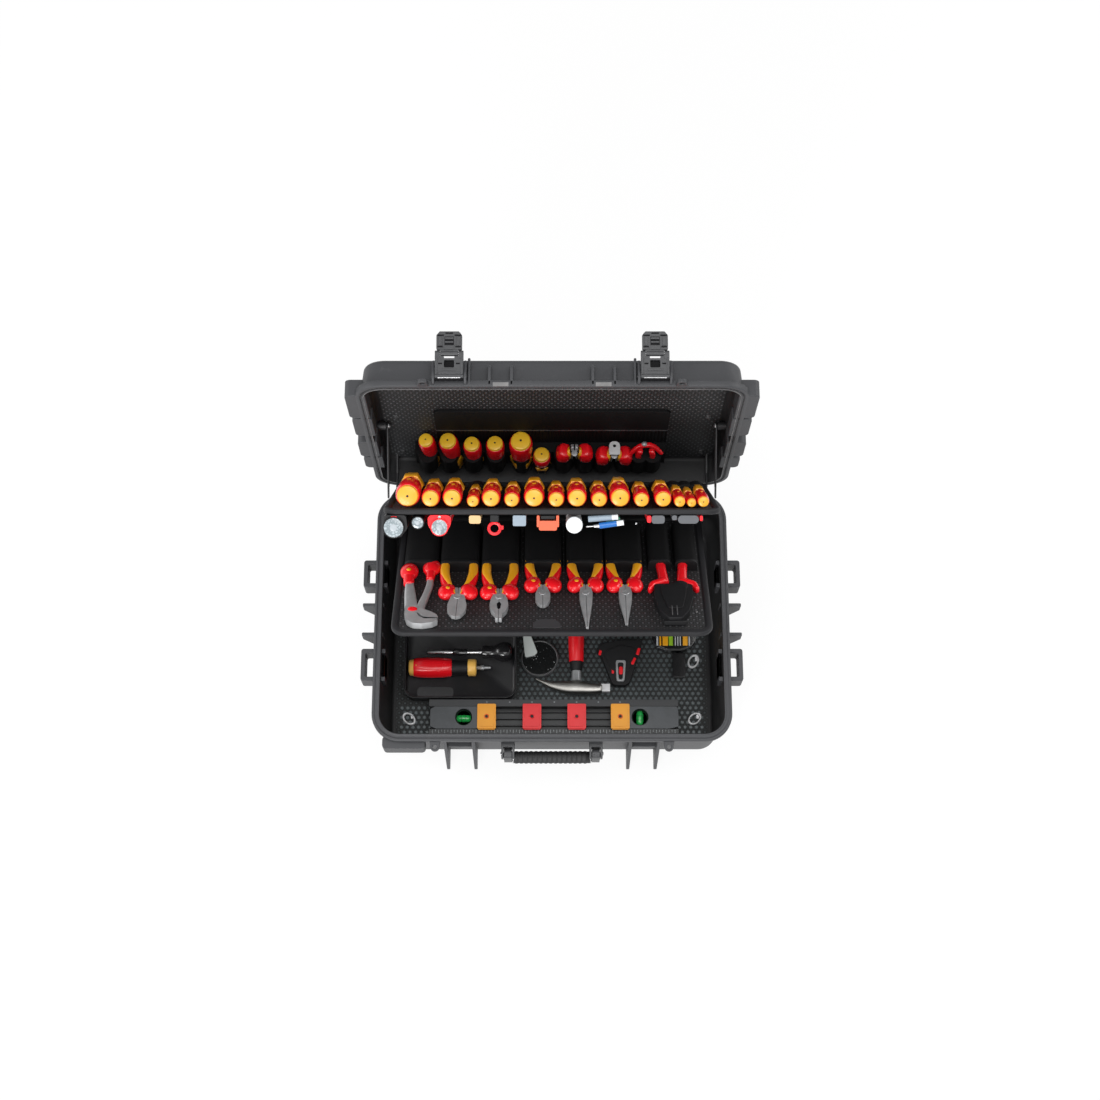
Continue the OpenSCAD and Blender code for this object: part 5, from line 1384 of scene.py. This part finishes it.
# Wire stripper: a black moulded body on red handles with winged guards
zinc_dark = worked_metal("zinc_dark", (0.16, 0.16, 0.165), 0.4, metallic=0.5)
strip_red = []
for edge in (-1, 1):
    strip_red.append(limb([(stripper_x + edge * 20, -62, 10.8, 14, 12),
                           (stripper_x + edge * 20, -110, 10.8, 16, 14),
                           (stripper_x + edge * 16, -160, 10.8, 15, 14),
                           (stripper_x + edge * 14, -190, 10.8, 16, 13)]))
    strip_red.append(limb([(stripper_x + edge * 14, -188, 12, 12, 14),
                           (stripper_x + edge * 24, -194, 12, 12, 15),
                           (stripper_x + edge * 32, -199, 12, 11, 15),
                           (stripper_x + edge * 36.5, -209, 12, 7, 13)]))
strip_black = extrude(rounded([(161, -200), (220, -200), (220, -232), (212, -266), (200, -284), (180, -284),
                               (168, -266), (160, -232)],
                              [5, 5, 10, 14, 5, 5, 14, 10]), 3.8, 17.4)
strip_top = extrude(rounded([(170, -206), (211, -206), (209, -228), (202, -262), (180, -262), (172, -228)],
                            5), 17.0, 18.8)
cutter = [block((184.8, -278, 16.8), (186.4, -256, 19.0)), block((192.4, -278, 16.8), (194.0, -256, 19.0))]
lips = block((173, -288, 4.2), (207, -284, 12.5))
stripper_pivot = turned([(0, 12), (1.4, 11.6), (1.8, 10), (1.8, 0.05)], (stripper_x + 12, -204, 16.4),
                        (0, 0, 1), 28)
build("stripper", on_lower,
      [(soft_black, [moved(surface, x=-3, y=5)
                     for surface in (strip_black, strip_top, lips, stripper_pivot)]),
       (red_gloss, [moved(surface, x=-2, y=5) for surface in strip_red]),
       (zinc_dark, [moved(surface, x=-3, y=5) for surface in cutter])],
      "lower_board", nodes=["wire_stripper"], bevel=0.8, sharp=50)

# ---------------------------------------------------------------------------
# Floor of the base: a moulded mat with rows of small six-sided studs, and at the left an
# open bin with rounded corners and a rolled rim.
mat_black = webbing("mat_black", in_base, (0.008, 0.009, 0.009), (0.085, 0.105, 0.108), 9.2, 0.45)
mat_outline = rounded_rectangle(506, 352, 30)
build("stud_mat", in_base, [(mat_black, [extrude(mat_outline, 4, 6.2)])], "base",
      nodes=["floor_mat"])
studs_x, studs_y = np.meshgrid(np.arange(-28, 29), np.arange(-11, 12), indexing="ij")
stud_points, stud_faces = [], []
for shift in (0, 1):
    centers = np.column_stack([(studs_x.ravel() + shift / 2) * 9.2,
                               (studs_y.ravel() + shift / 2) * 9.2 * math.sqrt(3)])
    inside = (np.abs(centers[:, 0]) < 246) & (np.abs(centers[:, 1]) < 169)
    inside &= ~((centers[:, 0] < -54) & (np.abs(centers[:, 1] + 34) < 80))
    inside &= ~((np.abs(centers[:, 0] - 3) < 198) & (np.abs(centers[:, 1] + 141) < 26))
    centers = centers[inside]
    turns = np.radians(np.arange(30, 390, 60))
    ring = np.array([[radius * math.cos(a), radius * math.sin(a), z] for radius, z in ((3.5, 6.1), (2.4, 7.0))
                     for a in turns])
    offsets = np.column_stack([centers, np.zeros(len(centers))])
    start = sum(len(p) for p in stud_points)
    stud_points.append((offsets[:, None] + ring[None]).reshape(-1, 3))
    one = [[j, (j + 1) % 6, 6 + (j + 1) % 6, 6 + j] for j in range(6)] + [list(range(6, 12))]
    stud_faces += [[start + 12 * i + j for j in face] for i in range(len(centers)) for face in one]
# The studs are raised; their pale grey is a painted highlight.
stud_gray = moulded("stud_gray", (0.09, 0.11, 0.115), 0.34)
build("mat_studs", in_base, [(stud_gray, [(np.concatenate(stud_points), stud_faces)])], "base",
      nodes=["floor_mat"])

bin_black = moulded("bin_black", (0.016, 0.016, 0.018), 0.36, grain=700, scuffs=0.3)
rim_gray = moulded("rim_gray", (0.05, 0.05, 0.054), 0.42)
bin_wall = [(-4, 7.4), (-1.6, 9.5), (0, 35.4), (0, 37), (-2.5, 37), (-2.6, 35), (-4.2, 11.5), (-7.5, 9.6)]
bin_shell = moved(carry_round(bin_wall, 183, 152, 20), x=-148.5, y=-34)
bin_lip = moved(carry_round([(0, 35.2), (0, 36.2), (-0.6, 37), (-2.4, 37), (-3, 36.4), (-2.8, 35.2)], 183,
                            152, 20, closed=True), x=-148.5, y=-34)
pads = [moved(extrude(rounded_rectangle(width, depth, radius), 9.4, 10.8), x=x, y=y)
        for width, depth, radius, x, y in ((60, 18, 7, -190, -94), (34, 30, 9, -150, 20),
                                           (30, 30, 9, -207, 18), (30, 30, 9, -92, 18))]
build("parts_bin", in_base, [(bin_black, [bin_shell] + pads), (rim_gray, [bin_lip])], "base",
      nodes=["tool_bin"], bevel=0.3, sharp=45)

# Pull rings: bright wire bent to a loop through a small plate, folded at a slant
wire_steel = worked_metal("wire_steel", (0.9, 0.9, 0.91), 0.34, metallic=0.2)
rings = []
ring_radius, wire_radius, ring_squash, ring_height = 10.6, 2.2, 0.7, 8.9
round_ring = np.linspace(0, 2 * math.pi, 36, endpoint=False)[:, None]
round_wire = np.linspace(0, 2 * math.pi, 10, endpoint=False)[None]
out = ring_radius + wire_radius * np.cos(round_wire)
loop = np.stack([out * np.cos(round_ring), out * np.sin(round_ring) * ring_squash,
                 np.repeat(wire_radius * np.sin(round_wire), 36, axis=0)], axis=-1).reshape(-1, 3)
for x, y, slant in ((-232, -138, -42), (232, -138, 38), (232, -42, 62)):
    rings.append(turned_over((spun(loop, slant) + [x, y, ring_height],
                              grid_faces(36, 10, wrap_rows=True).tolist())))
    rings.append(moved(extrude(rounded_box(-2.0, -3.4, 2.0, 3.4, 1.2), 6.8, 8.2), x=x + 5, y=y + 4))
build("pull_ring_wires", in_base, [(wire_steel, rings)], "base", nodes=["pull_rings"], bevel=0.3,
      sharp=60)

# Stubby torque handle in the bin: amber butt, red barrel, black neck and amber ring
stub = np.array([-233, -57, 26.5])
peach = moulded("peach_cap", (1.0, 0.56, 0.12), 0.36, coat=0.1, cloud=0.06, scuffs=0.1)
build("torque_handle", in_base,
      [(peach, [turned([(0, 0.1), (0.1, 9), (0.8, 11.5), (3, 13), (9, 14)], stub, (1, 0, 0), 30)]),
       (red_gloss, [turned([(8, 13), (8.6, 14.6), (14, 15.9), (26, 17), (42, 17), (58, 16.2), (68, 14.8),
                            (70.5, 13.4)], stub, (1, 0, 0), 40, 6, 0.05, (16, 66))]),
       (soft_black, [turned([(69, 12.5), (70, 13), (82, 12), (96.5, 11.6)], stub, (1, 0, 0), 30, 10, 0.05,
                            (71, 95))]),
       (yellow_gloss, [turned([(-0.6, 0.8), (0, 0.8)], stub + [13, 0, 17.2], (0, 0, 1), 8)])],
      "base", nodes=["handle_driver"], sharp=45)
build("torque_ring", in_base,
      [(peach, [turned([(96, 11), (96.6, 13.4), (98, 14), (108, 14), (109.5, 13.2), (110.5, 10)], stub,
                       (1, 0, 0), 30)]),
       (dull_steel, [turned([(109, 3.2), (116, 3.2), (117, 4.2), (122, 4.2), (123, 2.6), (133, 2.2),
                             (134, 0.5)], stub, (1, 0, 0), 8)])],
      "base", nodes=["driver_collar"], sharp=45)
knob = np.array([-64, -31, 27.0])
black_gloss = moulded("black_gloss", (0.012, 0.012, 0.013), 0.2, coat=0.6, scuffs=0.1)
build("extension_handle", in_base,
      [(black_gloss, [turned([(0, 0.1), (0.2, 7), (2, 12.4), (8, 16.4), (16, 17), (24, 14), (31, 10),
                              (38, 10), (44, 11), (49, 9.8), (51, 5)], knob, (-1, 0, 0), 32, 6, 0.05,
                             (4, 30)),
                      turned([(74, 3.6), (75, 5), (96, 5), (97.5, 3.6)], knob, (-1, 0, 0), 20)]),
       (bright_steel, [turned([(50, 3.5), (138, 3.2), (139, 2.4)], knob, (-1, 0, 0), 16)])],
      "base", nodes=["extension_blade"], sharp=45)

# ---------------------------------------------------------------------------
# On the mat: a round mirror whose glass carries a painted reflection, black with pale dots, and its pale
# slide, a hammer with one long curved end, a cable knife and a rounded box of bits.
# The mirror's glass is painted black with scattered pale dots: a painted reflection.
mirror_reflection = Finish("speckled_black", (0.008, 0.009, 0.009), 0.22, coat=0.3)
reflected_flecks = mirror_reflection.node("ShaderNodeTexVoronoi", {}, {"Vector": mirror_reflection.position(), "Scale": 260.0},
                       output="Distance")
spread = mirror_reflection.ramp(mirror_reflection.noise(mirror_reflection.position(), 60, 3), 0.48, 0.56)
mirror_reflection.drive(Base_Color=mirror_reflection.blend(mirror_reflection.ramp(reflected_flecks, 0.22, 0.14) * spread,
                                         (0.008, 0.009, 0.009), (0.5, 0.52, 0.52)))
ring_gray = moulded("ring_gray", (0.10, 0.102, 0.105), 0.3, coat=0.2)
pale_slide = moulded("pale_slide", (0.56, 0.60, 0.58), 0.4, cloud=0.06)
disc_x, disc_y = -20, -39
build("round_case", in_base,
      [(mirror_reflection, [turned([(-0.8, 28.4), (0.05, 27.6), (0, 0.1)], (disc_x, disc_y, 18.0), (0, 0, 1), 48)]),
       (ring_gray, [turned([(0, 29.5), (1, 30.6), (9, 30.9), (11, 30.2), (12, 29.2), (11.6, 28.2),
                            (10.4, 27.8)], (disc_x, disc_y, 7), (0, 0, 1), 48)]),
       (pale_slide, [extrude(rounded([(disc_x - 28, 3), (disc_x - 16, 3), (disc_x - 3.5, -30),
                                      (disc_x - 8, -35), (disc_x - 22, -38), (disc_x - 24, -36)],
                                     [1, 1, 3, 3, 3, 2]), 18, 22.6)])],
      "base", nodes=["inspection_mirror"], bevel=0.5, sharp=50)

hammer_grip = [turned([(0, 9), (0.6, 12.4), (3, 13.6), (70, 13.6), (118, 12.8), (148, 11.8), (150, 10)],
                      (40, 103.5, 20), (0, -1, 0), 32, 4, 0.10, (60, 150))]
build("hammer_shaft", in_base,
      [(red_satin, hammer_grip),
       (soft_black, [turned([(148, 9.6), (149, 10.6), (163, 9.6), (164.5, 8.4)],
                            (40, 103.5, 20), (0, -1, 0), 28)]),
       (dull_steel, [turned([(163, 7.6), (176, 8.0), (181, 9)], (40, 103.5, 19), (0, -1, 0), 28)])],
      "base", nodes=["hammer_handle"], sharp=45)
pick = limb([(80, -90, 16, 15, 18), (64, -90, 16, 18, 19), (40, -88, 16, 22, 19), (22, -87.5, 16, 20, 17),
             (2, -84.5, 16, 13, 13), (-12, -79.5, 16, 7.5, 10), (-24, -74, 16, 3, 5)], 3.0, 24)
build("hammer_iron", in_base,
      [(worked_metal("cast_steel", (0.50, 0.49, 0.46), 0.38, (1, 0.2, 1)),
        [pick, turned([(0, 8.6), (1, 9.2), (3, 9.2), (4, 8.0)], (76, -89, 16), (1, 0, 0), 24)]),
                               (wire_steel, [block((80, -95.5, 9.8), (94.5, -83, 22.2))])],
      "base", nodes=["hammer_head"], bevel=0.9, sharp=50)

knife_outline = rounded([(74, -24), (80, -34), (90, -60), (98, -82), (104, -85.5), (120, -85.5), (127, -80),
                         (138, -48), (147, -18), (146, -9), (112, -10), (88, -14), (78, -18)],
                        [5, 6, 10, 5, 4, 4, 6, 12, 6, 4, 5, 6, 4])
frame_outer = rounded([(105, -80), (118, -80), (121, -44), (104, -44)], 3)
frame_inner = rounded([(108.6, -76), (115, -76), (117, -48), (107.4, -48)], 2)
build("cable_knife", in_base,
      [(soft_black, [extrude(knife_outline, 7, 24),
                     extrude(rounded([(84, -30), (98, -62), (126, -62), (140, -24), (112, -18)], 8),
                             23, 25.4)]),
       (dull_steel, [framed_plate(frame_outer, frame_inner, 23, 26.6)]),
       (red_satin, [extrude(rounded_box(109.4, -68, 115.6, -55, 2.4), 23, 26.8),
                    extrude(rounded([(128, -50), (133, -52), (138, -41), (134, -39)], 1.5), 22, 25.6),
                    extrude(rounded([(137, -34), (142, -36), (145.5, -24), (140.5, -23)], 1.5), 22, 25.6),
                    extrude(rounded([(76, -34), (80, -36), (82, -28), (78, -26)], 1.5), 20, 24.4),
                    extrude(rounded([(97, -66), (101, -67), (102, -56), (98, -55)], 1.5), 21, 24.6)])],
      "base", nodes=["cable_stripper"], bevel=0.8, sharp=50)

box_outline = rounded([(164, 16), (236, 16), (236, -10), (228, -22), (212, -28), (188, -28), (172, -22),
                       (164, -10)], [3, 3, 10, 8, 8, 8, 8, 10])
label_white = moulded("label_white", (0.55, 0.57, 0.58), 0.4)
label_green = moulded("label_green", (0.30, 0.55, 0.02), 0.4)
bands = {"yellow": [], "white": [], "green": []}
for left, right, shade in ((171, 174, "white"), (176, 179, "yellow"), (181, 190, "yellow"),
                           (191, 198, "green"), (201, 203, "white"), (205, 207, "white"), (209, 211, "white"),
                           (214, 222, "yellow"), (223.5, 226, "white")):
    bands[shade].append(block((left, -20.5, 28), (right, 12, 29.6)))
build("bit_case", in_base,
      [(black_gloss, [extrude(box_outline, 7, 26),
                      extrude((np.array(box_outline) - [200, -6]) * 0.93 + [200, -6], 26, 28.6),
                      extrude(rounded_box(197, -72, 218, -31, 3), 7, 22.6)]),
       (yellow_gloss, bands["yellow"]), (label_white, bands["white"]), (label_green, bands["green"])],
      "base", nodes=["bit_box"], bevel=0.6, sharp=50)

# ---------------------------------------------------------------------------
# Spirit level: an anodised beam with thick end blocks, a round window at each end
# with its vial, a ribbed channel between, plain ticks, and four coloured clips.
beam_gray = worked_metal("beam_gray", (0.066, 0.072, 0.078), 0.40, (0.1, 1, 1), metallic=0.3)
flange_gray = moulded("flange_gray", (0.024, 0.026, 0.029), 0.42)
tick_gray = moulded("tick_gray", (0.24, 0.26, 0.27), 0.4)
channel_dark = moulded("channel_dark", (0.012, 0.014, 0.015), 0.4)
beam_left, beam_right, beam_front, beam_back = -198, 204, -170, -112
blocks, ticks = [], []
vial_at = ((-142, -141), (142, -141))
for (x, y), (left, right) in zip(vial_at, ((-198, -118), (110, 204))):
    corners = [5, 1, 1, 5] if x < 0 else [1, 5, 5, 1]
    frame_outline = rounded_box(left + 2, beam_front + 10, right, beam_back - 11, corners)
    blocks.append(framed_plate(frame_outline, circle((x, y), 13.6), 9, 35.2))
channel = block((-120, beam_front + 10, 9), (112, beam_back - 11, 17))
ribs = [block((-118, y - 0.8, 16.5), (110, y + 0.8, 24)) for y in (-152, -141, -130)]
top_flange = block((beam_left, beam_back - 11, 7.3), (beam_right, beam_back, 35.3))
low_flange = block((beam_left, beam_front, 7.3), (beam_right, beam_front + 10, 33.5))
edge_line = block((beam_left, beam_back - 11.8, 33), (beam_right, beam_back - 10.6, 35.6))
for i in range(79):
    x = -192 + i * 5
    ticks.append(block((x - 0.55, beam_front + (2.5 if i % 2 == 0 else 5), 33.2),
                       (x + 0.55, beam_front + 8.6, 33.8)))
for x in (-105, -68, -32, 4, 40, 75, 110):
    ticks.append(block((x - 1.2, beam_back - 5.5, 35.1), (x + 1.2, beam_back - 3.5, 35.6)))
build("level_beam", in_base,
      [(beam_gray, blocks), (flange_gray, [top_flange]),
       (channel_dark, [channel, low_flange, edge_line] + ribs), (tick_gray, ticks)],
      "base", nodes=["level_body"], bevel=0.5, sharp=50)
vial_green = Finish("vial_green", (0.01, 0.42, 0.07), 0.08, coat=0.6, IOR=1.46)
vial_green.drive(Base_Color=vial_green.blend(vial_green.noise(vial_green.position(), 120, 3),
                                             (0.0, 0.26, 0.04), (0.04, 0.62, 0.12)))
wells, tubes, lines = [], [], []
for (x, y), along in zip(vial_at, ((1, 0, 0), (0, 1, 0))):
    wells.append(turned([(0, 13.5), (5, 13.5), (5.4, 13), (3, 9), (2.6, 0.05)], (x, y, 8), (0, 0, 1), 40))
    wells.append(turned([(16, 13.6), (23, 13.6), (24, 12.6), (22, 11.4), (16, 11.6)], (x, y, 8),
                        (0, 0, 1), 40))
    direction = np.array(along, float)
    tubes.append(turned([(0, 1), (0.2, 3.4), (1, 4.8), (6, 5.9), (12.5, 6.2), (19, 5.9), (24, 4.8),
                         (24.8, 3.4), (25, 1)],
                        np.array([x, y, 23.0]) - direction * 12.5, along, 28))
    for offset in (-3.4, 3.4):
        lines.append(turned([(-0.4, 5.9), (-0.35, 6.35), (0.35, 6.35), (0.4, 5.9)],
                            np.array([x, y, 23.0]) + direction * offset, along, 28))
build("level_vial_tubes", in_base, [(channel_dark, wells + lines), (vial_green, tubes)], "base",
      nodes=["level_vials"], sharp=50)
clip_yellow, clip_red, clip_hole_shade, clip_rims = [], [], [], []
for x, color in ((-105, "y"), (-32, "r"), (40, "r"), (110, "y")):
    plate = extrude(rounded_box(x - 15, -161, x + 15, -120, 2), 35.3, 39.6)
    ledge = extrude(rounded_box(x - 12, -157.5, x + 12, -124, 3), 39.4, 40.4)
    toes = [block((x - 13, -162.4, 34.2), (x + 13, -160, 38))]
    (clip_yellow if color == "y" else clip_red).extend([plate, ledge] + toes)
    # Painted shade: each clip's hole is a near-black disc on its face, not an opening.
    clip_hole_shade.append(turned([(0, 2.6), (0.5, 2.6), (0.55, 0.05)], (x, -141, 40.1), (0, 0, 1), 18))
    clip_rims.append(turned([(-1, 4.0), (0.2, 4.0), (0.6, 3.5), (0.2, 2.9), (-1, 2.9)], (x, -141, 40.4),
                            (0, 0, 1), 24))
clip_amber = moulded("clip_amber", (0.95, 0.37, 0.006), 0.42, scuffs=0.12)
clip_scarlet = moulded("clip_scarlet", (0.82, 0.010, 0.016), 0.42, scuffs=0.12)
build("level_clip_plates", in_base,
      [(clip_amber, clip_yellow), (clip_scarlet, clip_red + clip_rims), (soft_black, clip_hole_shade)], "base",
      nodes=["level_clips"], bevel=0.7, sharp=50)

# ---------------------------------------------------------------------------
# Lid stays and board pivots: flat blackened steel arms on shouldered pins, and bent
# steel ears that carry the two boards.
STAY_L = 106
black_oxide = worked_metal("black_oxide", (0.035, 0.035, 0.037), 0.45, (1, 0.12, 0.12), metallic=0.4)
for side_name, side in (("left", -1), ("right", 1)):
    pivot = joint_at[f"stay_{side_name}_swing"]["pos_m"]
    stay_seat = Seat((0, pivot[1], pivot[2]), 0)
    low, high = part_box(f"stay_{side_name}")
    far = np.array([low[1] - pivot[1], low[2] - pivot[2]]) / MM
    far = far / np.linalg.norm(far) * STAY_L
    away = np.array([-far[1], far[0]]) / STAY_L
    reach = np.linspace(0, math.pi, 9)
    outline = ([5 * (away * math.cos(a) - far / STAY_L * math.sin(a)) for a in reach]
               + [far + 5 * (-away * math.cos(a) + far / STAY_L * math.sin(a)) for a in reach])
    plate = side_plate(outline, side * 250.0, 2.3)
    crease = side_plate([far * t + away * w
                         for t, w in ((0.12, 1.4), (0.88, 1.4), (0.88, -1.4), (0.12, -1.4))],
                        side * 248.6, 0.8)
    heads = [turned([(0, 3.6), (1, 3.4), (1.6, 2.2), (1.7, 0.05)], (side * 248.8, 0, 0), (-side, 0, 0), 18)]
    build(f"stay_arm_{side_name}", stay_seat, [(black_oxide, [plate, crease]), (wire_steel, heads)],
          f"stay_{side_name}", nodes=[f"stay_{side_name}"], bevel=0.4, sharp=50)
for node in ("stay_pins", "latch_pins", "upper_pivot_plates", "lower_pivot_plates"):
    dress(node, black_oxide)
